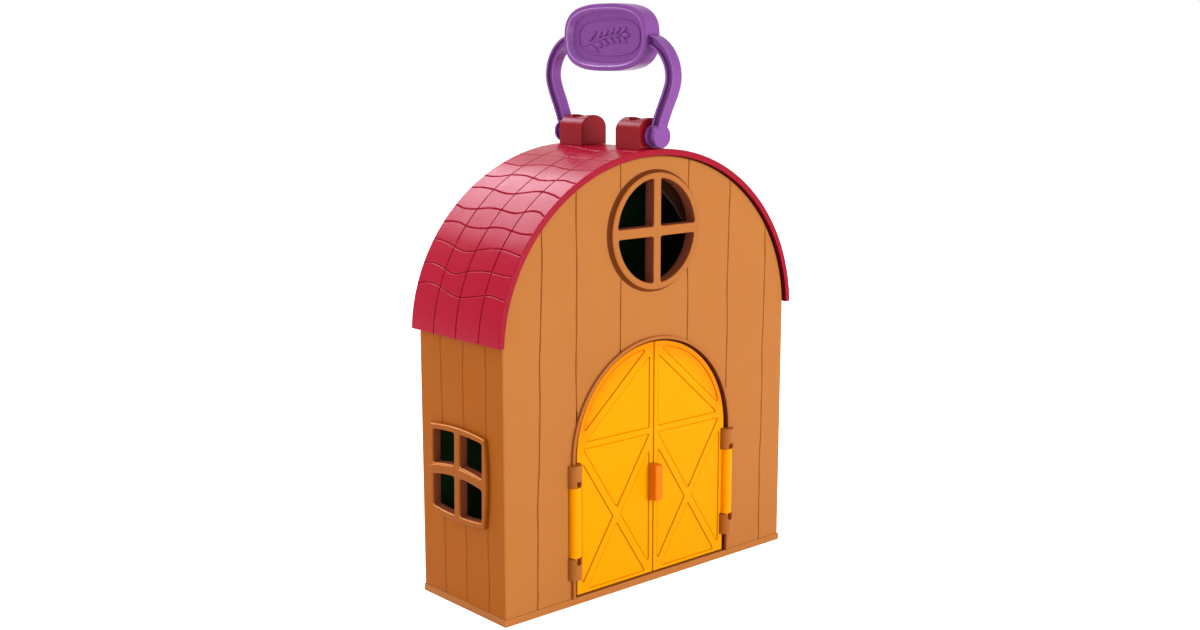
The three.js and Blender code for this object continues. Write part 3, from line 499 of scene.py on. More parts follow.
def paint_arch_shade(material):
    """Paint shade on the leaves: their yellow turns orange towards the arch, as painted shade and painted light
    bounced off the brown surround.
    """
    tree = material.node_tree
    shader = tree.nodes["Principled BSDF"]
    # the orange of the painted shade near the arch
    arch_shade = add_node(tree, "Mix", {
        "Factor": add_node(tree, "Group", {}, node_tree=NEAR_ARCH).outputs["Amount"],
        "A": shader.inputs["Base Color"].links[0].from_socket, "B": linear(232, 122, 6)}, data_type="RGBA")
    feed(tree, shader, {"Base Color": arch_shade.outputs["Result"]})


# Plastics: colour and the shade of its clouds on screen, roughness, grain, mottling, gloss and the gloss's tint
PLASTICS = {
    "wall": ((179, 111, 52), (170, 102, 46), 0.5, 0.7, 0.3, 0.16, (1, 0.75, 0.4)),
    # painted shade: the side walls are the front wall's plastic, given a darker, deeper brown
    "side_wall_in_shade": ((171, 93, 22), (162, 85, 18), 0.5, 0.7, 0.3, 0.08, (1, 0.75, 0.4)),
    # painted shade: the side windows' frames are the trim's plastic, given a darker brown
    "sash": ((161, 87, 22), (151, 79, 18), 0.4, 0.5, 0.3, 0.1, (1, 0.7, 0.3)),
    # painted highlight: a light brown on the rounded edges of the side windows' frames
    "sash_highlight": ((232, 146, 68), (226, 138, 62), 0.25, 0.2, 0.3, 0.35, (1, 0.85, 0.5)),
    # painted shade: a darker, redder brown for the walls of the panes
    "reveal_shade": ((154, 82, 56), (144, 75, 50), 0.5, 0.5, 0.3, 0.1, (1, 0.78, 0.6)),
    # painted shade: the brackets, bead and round frame are the wall's plastic, given a darker brown
    "trim": ((173, 101, 42), (164, 92, 36), 0.38, 0.5, 0.3, 0.2, (1, 0.78, 0.45)),
    "roof": ((172, 8, 43), (166, 7, 38), 0.27, 0.2, 0.15, 0.1, (1, 0.88, 1)),
    # painted shade: a darker red for the front and rear rims of the roof
    "rim": ((156, 9, 35), (146, 7, 31), 0.32, 0.2, 0.2, 0.1, (1, 0.9, 1)),
    # painted shade: a dark red for the inside of the roof, seen under its overhang
    "underside_shade": ((98, 12, 22), (88, 9, 18), 0.5, 0.5, 0.3, 0.05),
    # painted shade: the lugs are the roof's plastic, given a darker red
    "lug": ((144, 12, 26), (136, 9, 22), 0.3, 0.3, 0.2, 0.12),
    "door": ((232, 155, 0), (229, 148, 0), 0.42, 0.5, 0.3, 0.1, (1, 0.75, 0)),
    # painted shade: the barrels are the leaves' plastic, given a more orange tone
    "barrel": ((250, 156, 4), (245, 147, 0), 0.4, 1.0, 0.3, 0.2, (1, 0.75, 0)),
    # painted shade: the pull is the leaves' plastic, given a darker orange
    "grip_in_shade": ((224, 118, 16), (218, 108, 12), 0.4, 1.0, 0.3, 0.2, (1, 0.75, 0)),
    "handle": ((131, 73, 148), (122, 65, 139), 0.28, 0.3, 0.3, 0.12),
    # painted highlight: a lighter purple on the rounded edges of the rims, which are also glossier
    "handle_highlight": ((164, 106, 184), (156, 98, 176), 0.2, 0.2, 0.3, 0.7),
    # painted shade: dark brown for the sides of the doorway, the bead and the round frame
    "flank_shade": ((112, 56, 23), (104, 50, 20), 0.5, 0.5, 0.3, 0.08, (1, 0.78, 0.5)),
    "yard": ((34, 76, 38), (24, 62, 30), 0.5, 1.0, 0.3, 0.2)}
for part, look in PLASTICS.items():
    surface(part + "_plastic", *look)
paint_arch_shade(bpy.data.materials["door_plastic"])
SCREW_STEEL = surface("screw_steel", (176, 178, 182), (128, 130, 136), 0.34, 2.0, 0.6, 0.5, metallic=1.0)


# ---- Barn body

def seam_cutter(points, place):
    """V-shaped engraving along a wandering line; place turns (across, along, into) into a point."""
    section = [(-0.5, -1.0), (0.5, -1.0), (0.5, 0.0), (0.12, 1.0), (-0.12, 1.0), (-0.5, 0.0)]
    stations = []
    for i, (across, along) in enumerate(points):
        wide = SEAM_WIDTH * (1.0 + 0.22 * math.sin(1.7 * i + across))
        stations.append([place(across + a * wide, along, d * SEAM_DEPTH) for a, d in section])
    return swept(stations)


def wandering(start, end, low, high, sway, phase, steps=30):
    """Nearly straight line from (start, low) to (end, high), with a slow sway of a moulded plank edge."""
    points = []
    for i in range(steps + 1):
        t = i / steps
        drift = sway * (math.sin(5.1 * t * math.pi + phase) + 0.5 * math.sin(11.3 * t * math.pi + 2.1 * phase))
        points.append((start + (end - start) * t + drift, low + (high - low) * t))
    return points


def side_window_outline(half_width, half_height, steps=10):
    """Window outline with sides that bulge, as (x, z) about the window's centre."""
    points = []
    for quarter in range(4):
        along, out = (half_height, half_width) if quarter % 2 else (half_width, half_height)
        for k in range(steps):
            t = k / steps
            x, z = along * (2 * t - 1), -out - 4 * SIDE_BOW * t * (1 - t)
            for _ in range(quarter):
                x, z = -z, x
            points.append((x, z))
    return points


def leaned(bm, side):
    """Drawn a little askew: the window stands slightly to the rear, its foot more than its head."""
    for vert in bm.verts:
        vert.co.x += side * (1.5 - 0.02 * vert.co.z)
    return bm


def to_side(bm, side):
    """Turn something modelled at the front, about the origin, onto the left (-1) or right (+1) wall."""
    turn = Matrix.Translation((side * HALF_WIDTH, 0, SIDE_Z)) @ Matrix.Rotation(side * math.pi / 2, 4, "Z")
    bmesh.ops.transform(bm, matrix=turn, verts=bm.verts)
    return bm


def round_doorway(section, foot):
    """Sweep a section up one side of the doorway from a height, round its arch and down the other side."""
    lines = [[(r, foot)] + arc(0, OPENING_SPRING, r, r, 0, 180, 60) + [(-r, foot)] for r, _ in section]
    return swept([[(x, y, z) for (x, z), (_, y) in zip(spots, section)] for spots in zip(*lines)])


def from_doorway(spot):
    """Distance of a spot from the middle line of the doorway, or from the centre of its arch."""
    return math.hypot(spot.x, max(spot.z - OPENING_SPRING, 0.0))


def barn_body():
    """Front wall, side walls and arch in one moulding, open at the rear and at the bottom."""
    inside = FRONT + WALL
    shell = prism(arch(HALF_WIDTH, SHELL_BOTTOM, WALL_TOP, ARCH_RISE), FRONT, REAR)
    soften(shell, 1.0, 4, 60, lambda m: m.y < FRONT + 0.1 and m.z > SHELL_BOTTOM + 0.1)
    soften(shell, 0.5, 2, 60, lambda m: m.y > REAR - 0.1 and m.z > SHELL_BOTTOM + 0.1)
    room = prism(arch(HALF_WIDTH - WALL, -20, WALL_TOP, ARCH_RISE - WALL), inside, REAR + 20)
    doorway = prism(arch(OPENING_R, -20, OPENING_SPRING, OPENING_R), FRONT - BEYOND, inside + 5)
    shell = carved(shell, room, doorway)
    shell = joined(shell, round_doorway(STOP, SHELL_BOTTOM))
    shell = joined(shell, block((-SILL_HALF, STOP_FACE, SHELL_BOTTOM), (SILL_HALF, STOP_BACK, SILL_TOP)))
    cuts = [rod(31.4, FRONT - BEYOND, inside + 5, "Y", (0, ROUND_Z), 64)]
    for side in (-1, 1):
        hole = prism(side_window_outline(24.2, 24.6), -BEYOND, WALL + 4)
        cuts.append(to_side(leaned(hole, side), side))
        # room for the barrel, and the hole of its pins
        cuts.append(block(
            (side * 56.0, FRONT - BEYOND, BARREL_LOW - 0.4), (side * 65.2, inside + 5, BARREL_HIGH + 0.4)))
        cuts.append(rod(2.0, BARREL_LOW - 6.6, BARREL_HIGH + 6.6, "Z", (side * HINGE_X, HINGE_Y), 24))
    shell = carved(shell, *cuts)
    seams = []
    for low_x, high_x, sway, phase in FRONT_SEAMS:
        top = WALL_TOP + ARCH_RISE * math.sqrt(1 - (high_x / HALF_WIDTH) ** 2) + 2
        line = wandering(low_x, high_x, SHELL_BOTTOM - 1, top, sway, phase)
        seams.append(seam_cutter(line, lambda a, z, d: (a, FRONT + d, z)))
    for side in (-1, 1):
        for low_y, high_y, sway, phase in SIDE_SEAMS:
            line = wandering(low_y, high_y, SHELL_BOTTOM - 1, WALL_TOP + 6, sway, phase + side)
            seams.append(seam_cutter(line, lambda a, z, d: (side * (HALF_WIDTH - d), a, z)))
    shell = carved(shell, together(*seams))
    extras = []
    for side in (-1, 1):
        wall = side * (HALF_WIDTH - WALL / 2)
        for y in FLOOR_BOSSES:
            extras.append(block((wall, y - BOSS_HALF, SHELL_BOTTOM), (side * 99.2, y + BOSS_HALF, 20.1)))
        for z in PANEL_STOPS:
            extras.append(block((wall, 29.5, z), (side * 104.3, 32.4, z + 18)))
    for y in (-LUG_MIDDLE, LUG_MIDDLE):
        extras.append(block((-BOSS_HALF, y - BOSS_HALF, 238.2), (BOSS_HALF, y + BOSS_HALF, 248.6)))
    shell = joined(shell, together(*extras))
    shell.normal_update()
    # painted shade: the outer faces of the side walls take the darker side-wall brown
    paint(shell, 1, lambda m, n: abs(n.x) > 0.9 and abs(m.x) > HALF_WIDTH - 1.0)
    # painted shade: the sides of the doorway and of its stop and sill take the dark flank brown
    paint(shell, 2, lambda m, n: from_doorway(m) < 64 and m.z < 148 and -37.7 < m.y < -33.6)
    finish("barn_body", shell, ["wall", "side_wall_in_shade", "flank_shade"], "barn", ["barn_shell"])


# ---- Roof

# Hand-drawn course lines from the left eave up: (depth y, angle on the arch in degrees) along each line
COURSES = [
    [(39.2, 17.1), (31.8, 17.7), (23.3, 17.6), (15.6, 16.7), (8.0, 15.6), (-0.4, 15.1), (-10.5, 15.9),
     (-20.1, 17.0), (-26.2, 17.4), (-32.7, 17.2), (-39.2, 16.8)],
    [(39.4, 23.5), (32.7, 23.9), (24.6, 23.4), (18.0, 22.5), (11.8, 21.7), (5.3, 22.0), (-1.7, 23.1),
     (-10.1, 23.8), (-18.9, 24.2), (-26.7, 24.0), (-33.1, 23.9), (-39.8, 24.0)],
    [(38.6, 31.4), (31.5, 31.3), (23.4, 30.5), (15.3, 29.5), (7.8, 29.0), (0.4, 29.5), (-6.4, 30.4),
     (-14.5, 31.1), (-23.1, 31.4), (-31.2, 31.0), (-39.3, 30.4)],
    [(39.1, 37.6), (32.0, 38.0), (24.7, 37.8), (17.9, 37.0), (9.5, 36.8), (2.0, 37.1), (-4.8, 37.8),
     (-12.2, 38.1), (-18.9, 37.8), (-26.1, 37.3), (-32.7, 37.1), (-40.2, 37.4)],
    [(38.9, 43.9), (31.2, 43.1), (24.3, 43.1), (17.1, 43.6), (10.2, 44.3), (3.7, 44.4), (-3.4, 44.1),
     (-10.5, 43.7), (-16.9, 43.7), (-21.9, 44.5), (-26.9, 45.2), (-33.4, 45.1), (-40.2, 43.9)],
    [(38.5, 51.5), (32.0, 52.0), (25.0, 51.9), (18.3, 51.6), (9.3, 50.8), (2.2, 50.6), (-3.4, 51.1),
     (-9.4, 51.9), (-15.6, 52.7), (-21.3, 53.0), (-26.9, 52.7), (-33.0, 52.1), (-40.0, 51.2)],
    [(37.9, 57.4), (30.7, 57.3), (25.0, 57.8), (19.4, 58.9), (12.3, 59.3), (5.7, 59.3), (-1.1, 58.6),
     (-8.9, 57.9), (-16.3, 58.0), (-22.5, 58.6), (-29.5, 58.8), (-39.7, 58.0)],
    [(39.0, 65.2), (30.7, 64.6), (22.1, 64.4), (15.6, 65.0), (8.1, 65.8), (1.0, 66.1), (-6.4, 65.7),
     (-14.2, 65.0), (-23.6, 64.7), (-30.3, 65.0), (-37.7, 65.5)],
    [(38.6, 72.0), (30.4, 72.0), (22.0, 72.5), (15.1, 72.9), (7.5, 73.1), (-1.5, 72.5), (-8.7, 72.1),
     (-16.3, 72.1), (-25.7, 72.3), (-34.0, 72.4)],
    [(36.0, 80.2), (29.0, 81.1), (23.4, 83.0), (16.1, 83.0), (5.6, 81.3), (-5.9, 79.8), (-12.6, 79.6),
     (-20.4, 81.2), (-30.0, 82.0)],
]
ARCH_LINES = [18.5, -1.8, -22.0]
# Sections of the engraved lines, as (offset in mm, share of the depth)
GROOVE = [(-0.5, 0.0), (-0.34, 0.14), (-0.15, 0.86), (0.0, 1.0), (0.15, 0.86), (0.34, 0.14), (0.5, 0.0)]
COURSE_GROOVE = [(-0.85, 0.0), (-0.68, 0.05), (-0.32, 0.3), (-0.14, 0.9), (0.0, 1.0),
                 (0.14, 0.9), (0.32, 0.3), (0.68, 0.05), (0.85, 0.0)]
GROOVE_DEPTH = 0.85
# Rounding of the rims: distance from the rim, how far the skin drops there, and the share of the courses' depth
RIM_ROUNDING = [(0.0, 0.55, 0.0), (0.08, 0.26, 0.0), (0.26, 0.08, 0.0), (0.55, 0.0, 0.0), (0.8, 0.0, 0.0),
                (1.0, 0.0, 1.0)]
# Rounding of the eaves: degrees from the eave, how far the skin drops there, and how high that is over the eave
EAVE_ROUNDING = [(0.0, 0.55, 0.0), (0.1, 0.16, 0.16), (0.3, 0.0, 0.45)]
# Degrees on the arch for one millimetre along the roof
MM_ANGLE = math.degrees(1.0 / 109.0)
INSIDE_STEPS = 60


def through(points):
    """Smooth function of y through (y, value) points, level beyond its ends."""
    points = sorted(points)

    def value(y):
        if y <= points[0][0]:
            return points[0][1]
        if y >= points[-1][0]:
            return points[-1][1]
        i = max(k for k, p in enumerate(points) if p[0] <= y)
        p = [points[max(0, min(len(points) - 1, i + k))] for k in (-1, 0, 1, 2)]
        span = p[2][0] - p[1][0]
        t = (y - p[1][0]) / span
        m1 = (p[2][1] - p[0][1]) / (p[2][0] - p[0][0]) * span if i else 0.0
        m2 = (p[3][1] - p[1][1]) / (p[3][0] - p[1][0]) * span if i + 2 < len(points) else 0.0
        return ((2 * t ** 3 - 3 * t ** 2 + 1) * p[1][1] + (t ** 3 - 2 * t ** 2 + t) * m1
                + (3 * t ** 2 - 2 * t ** 3) * p[2][1] + (t ** 3 - t ** 2) * m2)
    return value


def eave_angle(rise):
    """Angle on an arch at the height of the eaves, in degrees."""
    return math.degrees(math.asin((EAVE - WALL_TOP) / rise))


def roof_rows():
    """Rows of the outer skin from the left eave to the right one: angle at a depth, groove, rounding."""
    low = eave_angle(ROOF_RISE)

    def level(angle):
        return lambda y: angle

    def between(line, ahead, share):
        return lambda y: line(y) + (ahead(y) - line(y)) * share

    def beside(line, offset):
        return lambda y: line(y) + offset

    lines = [through(course) for course in COURSES]
    lines += [through([(-y, 180 - angle) for y, angle in course]) for course in reversed(COURSES)]
    rows = [(level(low + degrees), 0.0, drop) for degrees, drop, _ in EAVE_ROUNDING]
    last = rows[-1][0]
    for line in lines:
        rows += [(between(last, line, k / 4), 0.0, 0.0) for k in (1, 2, 3)]
        rows += [(beside(line, offset * MM_ANGLE), depth, 0.0) for offset, depth in COURSE_GROOVE]
        last = line
    ends = [(level(180 - low - degrees), 0.0, drop) for degrees, drop, _ in reversed(EAVE_ROUNDING)]
    rows += [(between(last, ends[0][0], k / 4), 0.0, 0.0) for k in (1, 2, 3)]
    return rows + ends


def roof_columns():
    """Depths across the roof: the rounding of the rim there, the arch line's depth, the share of the courses'."""
    columns = []
    for rim, way in ((ROOF_REAR, -1), (ROOF_FRONT, 1)):
        columns += [(rim + way * inward, drop, 0.0, share) for inward, drop, share in RIM_ROUNDING]
    stops = sorted(ARCH_LINES + [ROOF_REAR - 1.0, ROOF_FRONT + 1.0])
    for a, b in zip(stops, stops[1:]):
        columns += [(a + (b - a) * k / 7, 0.0, 0.0, 1.0) for k in range(1, 7)]
    for line in ARCH_LINES:
        columns += [(line + offset, 0.0, depth, 1.0) for offset, depth in GROOVE]
    return sorted(columns, key=lambda c: -c[0])


def roof():
    """Arched roof: an outer skin with waved courses and arch lines, and a plain inside."""
    rows = roof_rows()
    half, rise = ROOF_HALF - ROOF_THICK, ROOF_RISE - ROOF_THICK
    low = eave_angle(rise)
    inside = [math.radians(degrees) for degrees in evenly(180 - low, low, INSIDE_STEPS)]
    stations = []
    for y, rounding, line_depth, course_share in roof_columns():
        places = []
        for angle_at, depth, eave_rounding in rows:
            # angles run from 0 at the left eave to 180 at the right one
            angle = math.radians(angle_at(y))
            inset = max(depth * course_share, line_depth) * GROOVE_DEPTH + rounding + eave_rounding
            drift = 0.4 * (1 - (y / 40.2) ** 2) * math.sin(5.2 * angle + 0.11 * y)
            places.append(Vector((
                -(ROOF_HALF - inset) * math.cos(angle), y + drift,
                WALL_TOP + (ROOF_RISE - inset) * math.sin(angle))))
        for k, (_, _, lift) in enumerate(EAVE_ROUNDING):
            places[k].z = places[-1 - k].z = EAVE + lift
        places += [(-half * math.cos(angle), y, WALL_TOP + rise * math.sin(angle)) for angle in inside]
        stations.append(places)
    shell = carved(swept(stations), together(*[
        rod(SCREW_HOLE, 240, 260, "Z", (0, y), 20) for y in (-LUG_MIDDLE, LUG_MIDDLE)]))
    # painted shade: the front and rear rims take the darker rim red
    paint(shell, 1, lambda m, n: abs(n.y) > 0.75)
    # painted shade: the inside of the roof takes the dark underside red
    paint(shell, 2, lambda m, n: (
        abs(n.y) < 0.3 and math.hypot(m.x / ROOF_HALF, (m.z - WALL_TOP) / ROOF_RISE) < 0.974))
    finish("roof", shell, ["roof", "rim", "underside_shade"], "barn", ["roof_shell"], 50)


def lug(name, side, node):
    """Ridge lug with a crowned top, a round well for its screw and the bore of the handle's pivot."""
    outline = [(-LUG_HALF, 248), (LUG_HALF, 248)] + arc(0, 263.7, LUG_HALF, 7.3, 0, 180, 32)
    body = prism(outline, LUG_IN, LUG_OUT)
    soften(body, 0.7, 3, 60, lambda m: m.z > 249)
    seat = prism(arch(ROOF_HALF + 0.1, 60, WALL_TOP, ROOF_RISE + 0.1, 144), LUG_IN - 5, LUG_OUT + 5)
    body = carved(body, seat)
    body = carved(
        body, rod(LUG_WELL, WELL_FLOOR, 280, "Z", (0, LUG_MIDDLE), 48),
        rod(SCREW_HOLE, 240, 270, "Z", (0, LUG_MIDDLE), 20), rod(2.45, 28.4, 40, "Y", (0, PIVOT_Z), 32))
    soften(body, 0.3, 2, 40, lambda m: (
        m.z > WELL_FLOOR - 0.1 and abs(math.hypot(m.x, m.y - LUG_MIDDLE) - LUG_WELL) < 0.15))
    if side < 0:
        half_turned(body)
    finish(name, body, ["lug"], "barn", [node])


# ---- Handle

def spline(points, steps):
    """Smooth curve through points, as (y, z) with its direction."""
    out = []
    count = len(points) - 1
    for s in range(steps + 1):
        t = s / steps * count
        i = min(int(t), count - 1)
        f = t - i
        p = [Vector(points[max(0, min(count, i + k))]) for k in (-1, 0, 1, 2)]
        place = 0.5 * ((2 * p[1]) + (p[2] - p[0]) * f + (2 * p[0] - 5 * p[1] + 4 * p[2] - p[3]) * f * f
                       + (3 * p[1] - p[0] - 3 * p[2] + p[3]) * f ** 3)
        along = 0.5 * ((p[2] - p[0]) + 2 * (2 * p[0] - 5 * p[1] + 4 * p[2] - p[3]) * f
                       + 3 * (3 * p[1] - p[0] - 3 * p[2] + p[3]) * f * f)
        out.append((place, along.normalized()))
    return out


def arm_section():
    """Section of an arm across its run: a web with a rim on each side, as (across, x)."""
    half, thick, rim, dip = 3.4, 3.25, 1.15, 2.6
    draft = rim + 0.25
    return rounded([
        (-thick, -half), (-thick + rim, -half), (-thick + draft, -half + dip),
        (thick - draft, -half + dip), (thick - rim, -half), (thick, -half),
        (thick, half), (thick - rim, half), (thick - draft, half - dip),
        (-thick + draft, half - dip), (-thick + rim, half), (-thick, half)], 0.45, 3)


def handle_arm():
    """Rear arm with its eye and its stub pin."""
    section = arm_section()
    stations = []
    for place, along in spline(ARM_PATH, 40):
        across = Vector((along.y, -along.x))
        stations.append([(x, place.x + across.x * a, place.y + across.y * a) for a, x in section])
    arm = swept(stations)
    eye = rod(EYE_R, EYE_IN, EYE_OUT, "Y", (0, PIVOT_Z), 56)
    soften(eye, 0.6, 3, 60)
    # the channel of the arm runs on round the eye's sides
    ring = rod(9.0, 37.5, 41.6, "Y", (0, PIVOT_Z), 56)
    core = rod(4.4, 36.5, 42.6, "Y", (0, PIVOT_Z), 48)
    ring = carved(ring, core, block((-3.6, 36, PIVOT_Z), (3.6, 43, PIVOT_Z + 12)))
    eye = carved(eye, ring)
    pin = rod(2.2, EYE_IN - 6.4, EYE_IN + 1, "Y", (0, PIVOT_Z), 32)
    return joined(arm, eye, pin)


def plaque_outline(inset, steps=96):
    """Rounded plaque seen from the side, as (y, z)."""
    power = 2 / PLAQUE_SQUARENESS
    points = []
    for i in range(steps):
        a = 2 * math.pi * i / steps
        c, s = math.cos(a), math.sin(a)
        points.append((
            (PLAQUE_LONG - inset) * math.copysign(abs(c) ** power, c),
            PLAQUE_Z + (PLAQUE_TALL - inset) * math.copysign(abs(s) ** power, s)))
    return points


def plaque():
    """Plaque with a raised rim and a dished field on both faces."""
    half, well = 5.6, 1.3
    profile = [
        (-well, 4.9), (-well - 0.08, 4.5), (-well - 0.4, 4.2), (-half + 0.6, 3.1), (-half + 0.2, 2.75),
        (-half, 2.3), (-half, 0.9), (-half + 0.15, 0.4), (-half + 0.45, 0.1), (-half + 0.9, 0.0)]
    profile += [(-x, inset) for x, inset in reversed(profile)]
    return swept([[(x, y, z) for y, z in plaque_outline(inset)] for x, inset in profile])


def sprig():
    """Raised wheat sprig inside a plain oval border, on the plaque's field that looks to -X."""
    level = -1.2
    oval = plaque_outline(9.0)
    section = [(-0.55, 0.3), (-0.55, -0.5), (-0.25, -0.8), (0.25, -0.8), (0.55, -0.5), (0.55, 0.3)]

    def run(line, wide):
        # the first and the last point only show the way
        stations = []
        for back, (y, z), ahead in zip(line, line[1:], line[2:]):
            along = (Vector(ahead) - Vector(back)).normalized()
            stations.append([(level + d, y + along.y * a * wide, z - along.x * a * wide) for a, d in section])
        return swept(stations)

    def grain(y, z, tilt, long, wide):
        seed = bmesh.new()
        bmesh.ops.create_uvsphere(seed, u_segments=20, v_segments=12, radius=1.0)
        bmesh.ops.scale(seed, vec=(1.5, long, wide), verts=seed.verts)
        bmesh.ops.rotate(seed, cent=(0, 0, 0), matrix=Matrix.Rotation(tilt, 3, "X"), verts=seed.verts)
        bmesh.ops.translate(seed, vec=(level, y, z), verts=seed.verts)
        return seed

    stem = [(21.0 - 31.0 * t / 24, PLAQUE_Z - 4.6 + 5.6 * math.sin(0.5 * math.pi * t / 24)) for t in range(25)]
    grains = []
    for i in range(5):
        y, z = stem[8 + 4 * i]
        slope = -0.18 + 0.045 * i
        for way in (-1, 1):
            grains.append(grain(y - 2.6, z + 0.2 + way * 2.6, slope - 0.5 * way, 3.1, 1.45))
    # the grain at the tip, and two leaves low on the stem
    grains.append(grain(-14.4, PLAQUE_Z + 1.1, 0.0, 3.6, 1.5))
    grains.append(grain(12.6, PLAQUE_Z - 6.4, 0.35, 4.6, 1.2))
    grains.append(grain(13.8, PLAQUE_Z + 0.6, -0.75, 4.4, 1.2))
    return together(run(oval[-1:] + oval + oval[:2], 1.0), run(stem[:1] + stem + stem[-1:], 1.3), *grains)


def handle():
    """Carry handle: two arms and a plaque; the rounded edges of its rims are glossier than its faces, and a painted
    highlight makes them lighter.
    """
    rear = handle_arm()
    front = half_turned(rear.copy())
    body = joined(plaque(), rear, front)
    body.normal_update()

    # rounded rim edges, which take the painted highlight
    def highlighted_rim_edge(m, n):
        inward = m.y * n.y + (m.z - PLAQUE_Z) * n.z < 0
        plaque_rim = inward and abs(m.y) < 34 and m.z > 296 and 4.6 < abs(m.x)
        arm_rim = m.z > 266 and 2.9 < abs(m.x) < 3.45
        return (plaque_rim or arm_rim) and 0.3 < abs(n.x) < 0.95

    paint(body, 1, highlighted_rim_edge)
    finish("handle", body, ["handle", "handle_highlight"], "handle", ["carry_handle"])
    left_sprig = sprig()
    right_sprig = half_turned(left_sprig.copy())
    finish("plaque_sprig", together(left_sprig, right_sprig), ["handle"], "handle")


# ---- Doors

def leaf_outline(right):
    """Right leaf, or the left one mirrored, as (x, z), with its steps round the brackets and at the pull."""
    tongue, low, high = (PULL_LEFT, PULL_LOW, PULL_HIGH) if right else (3.8, 49.6, 71.8)
    start = math.degrees(math.acos(SPLIT / LEAF_R))
    points = [(SPLIT, LEAF_BOTTOM), (LEAF_R, LEAF_BOTTOM)]
    for foot, head in ((LOWER_BRACKET, BARREL_LOW), (BARREL_HIGH, UPPER_BRACKET)):
        points += [(LEAF_R, foot), (NOTCH_IN, foot), (NOTCH_IN, head), (LEAF_R, head)]
    points += arc(0, LEAF_SPRING, LEAF_R, LEAF_R, 0, start, 48)
    return points + [(SPLIT, high), (tongue, high), (tongue, low), (SPLIT, low)]


def square_to(line, way):
    """Unit vector square to a line, on the side that a vector points to."""
    along = (line[1] - line[0]).normalized()
    square = Vector((-along.y, along.x))
    return square if square.dot(way) > 0 else -square


def meet(one, other):
    """Where two lines meet, each given by two of its points."""
    (p, q), (r, s) = one, other
    d1, d2 = q - p, s - r
    t = ((r.x - p.x) * d2.y - (r.y - p.y) * d2.x) / (d1.x * d2.y - d1.y * d2.x)
    return p + d1 * t


def fields():
    """The sunk fields of the right leaf between its rims, rail and braces."""
    def line(*ends):
        return [Vector(end) for end in ends]

    def level(z):
        return line((0, z), (60, z))

    def upright(x):
        return line((x, 0), (x, 100))

    def other_edge(brace, way):
        return [end + square_to(brace, way) * BRACE_WIDTH for end in brace]

    split_rim, hinge_rim = upright(3.2), upright(55.1)
    floor, rail_under, rail_over = level(7.0), level(89.8), level(93.2)
    # one brace falls from the split to the hinge side, one rises to it, and one runs down over the rail
    fall, rise, top = line((3.2, 89.2), (56.4, 7.5)), line((6.0, 7.0), (57.0, 85.9)), line((4.2, 141.2), (56.3, 96.2))
    left, down = Vector((-1, 0)), Vector((0, -1))
    fall_left, rise_left, top_under = other_edge(fall, left), other_edge(rise, left), other_edge(top, down)
    found = [[meet(a, b), meet(b, c), meet(c, a)] for a, b, c in (
        (rise_left, rail_under, fall), (fall_left, split_rim, rise_left), (rise, floor, fall_left),
        (hinge_rim, rise, fall), (split_rim, rail_over, top_under))]
    # the crescent between the upper brace and the arch rim, with blunt tips
    under = square_to(top, down)
    radius = LEAF_R - 2.7
    curve = []
    for k in range(241):
        a = math.radians(k * 3 / 8)
        p = Vector((radius * math.cos(a), LEAF_SPRING + radius * math.sin(a)))
        if (p - top[0]).dot(-under) > 2.0:
            curve.append(p)
    curve = curve[::6] + [curve[-1]]
    feet = [p + under * (p - top[0]).dot(-under) for p in (curve[0], curve[-1])]
    found.append([feet[0]] + curve + [feet[1]])
    return [[(p.x, p.y) for p in field] for field in found]


def field_cutter(points):
    """Cutter for a sunk field: drafted walls, a fine groove along its edge and a slightly raised middle."""
    bm = bmesh.new()
    face = face_from(bm, [(x, LEAF_FACE - 0.3, z) for x, z in points])
    for width, depth in (
            (FIELD_DRAFT, GROOVE_FLOOR), (GROOVE_WIDTH, GROOVE_FLOOR), (FIELD_DRAFT, FIELD_DEPTH)):
        bmesh.ops.inset_region(bm, faces=[face], thickness=width, use_boundary=True, use_even_offset=True)
        for vert in face.verts:
            vert.co.y = LEAF_FACE + depth
    bmesh.ops.holes_fill(bm, edges=[edge for edge in bm.edges if edge.is_boundary])
    bmesh.ops.recalc_face_normals(bm, faces=bm.faces)
    return bm


def door(side, name, node):
    """One leaf, with its barrel and stub pins."""
    leaf = prism(leaf_outline(side > 0), LEAF_FACE, LEAF_BACK)
    soften(leaf, 0.3, 2, 60, lambda m: m.y < LEAF_FACE + 0.05)
    barrel = rod(BARREL_R, BARREL_LOW + 0.06, BARREL_HIGH - 0.06, "Z", (HINGE_X, HINGE_Y), 48)
    soften(barrel, 0.3, 2, 60)
    pins = rod(1.7, BARREL_LOW - 5.6, BARREL_HIGH + 5.6, "Z", (HINGE_X, HINGE_Y), 24)
    leaf = joined(leaf, barrel, pins)
    leaf = carved(leaf, *[
        field_cutter(rounded(field, 0.9, 4) if len(field) == 3 else field) for field in fields()])
    soften(leaf, 0.12, 2, 25, lambda m: abs(m.y - LEAF_FACE) < 0.03 and 3 < m.x < 57)
    # painted shade: the barrel takes the more orange barrel plastic
    paint(leaf, 1, lambda m, n: (
        math.hypot(m.x - HINGE_X, m.y - HINGE_Y) < BARREL_R + 0.05 and BARREL_LOW < m.z < BARREL_HIGH))
    if side < 0:
        flipped(leaf)
    body = "right_door" if side > 0 else "left_door"
    finish(name, leaf, ["door", "barrel"], body, [node])


def pull_bar():
    """Upright bar over the split between the leaves, on the right one, with soft front edges."""
    bar = block((PULL_LEFT, -43.4, PULL_LOW), (2.8, LEAF_FACE - 0.1, PULL_HIGH))
    soften(bar, 0.9, 4, 60, lambda m: m.y < HINGE_Y)
    finish("pull_bar", bar, ["grip_in_shade"], "right_door", ["door_pull"])


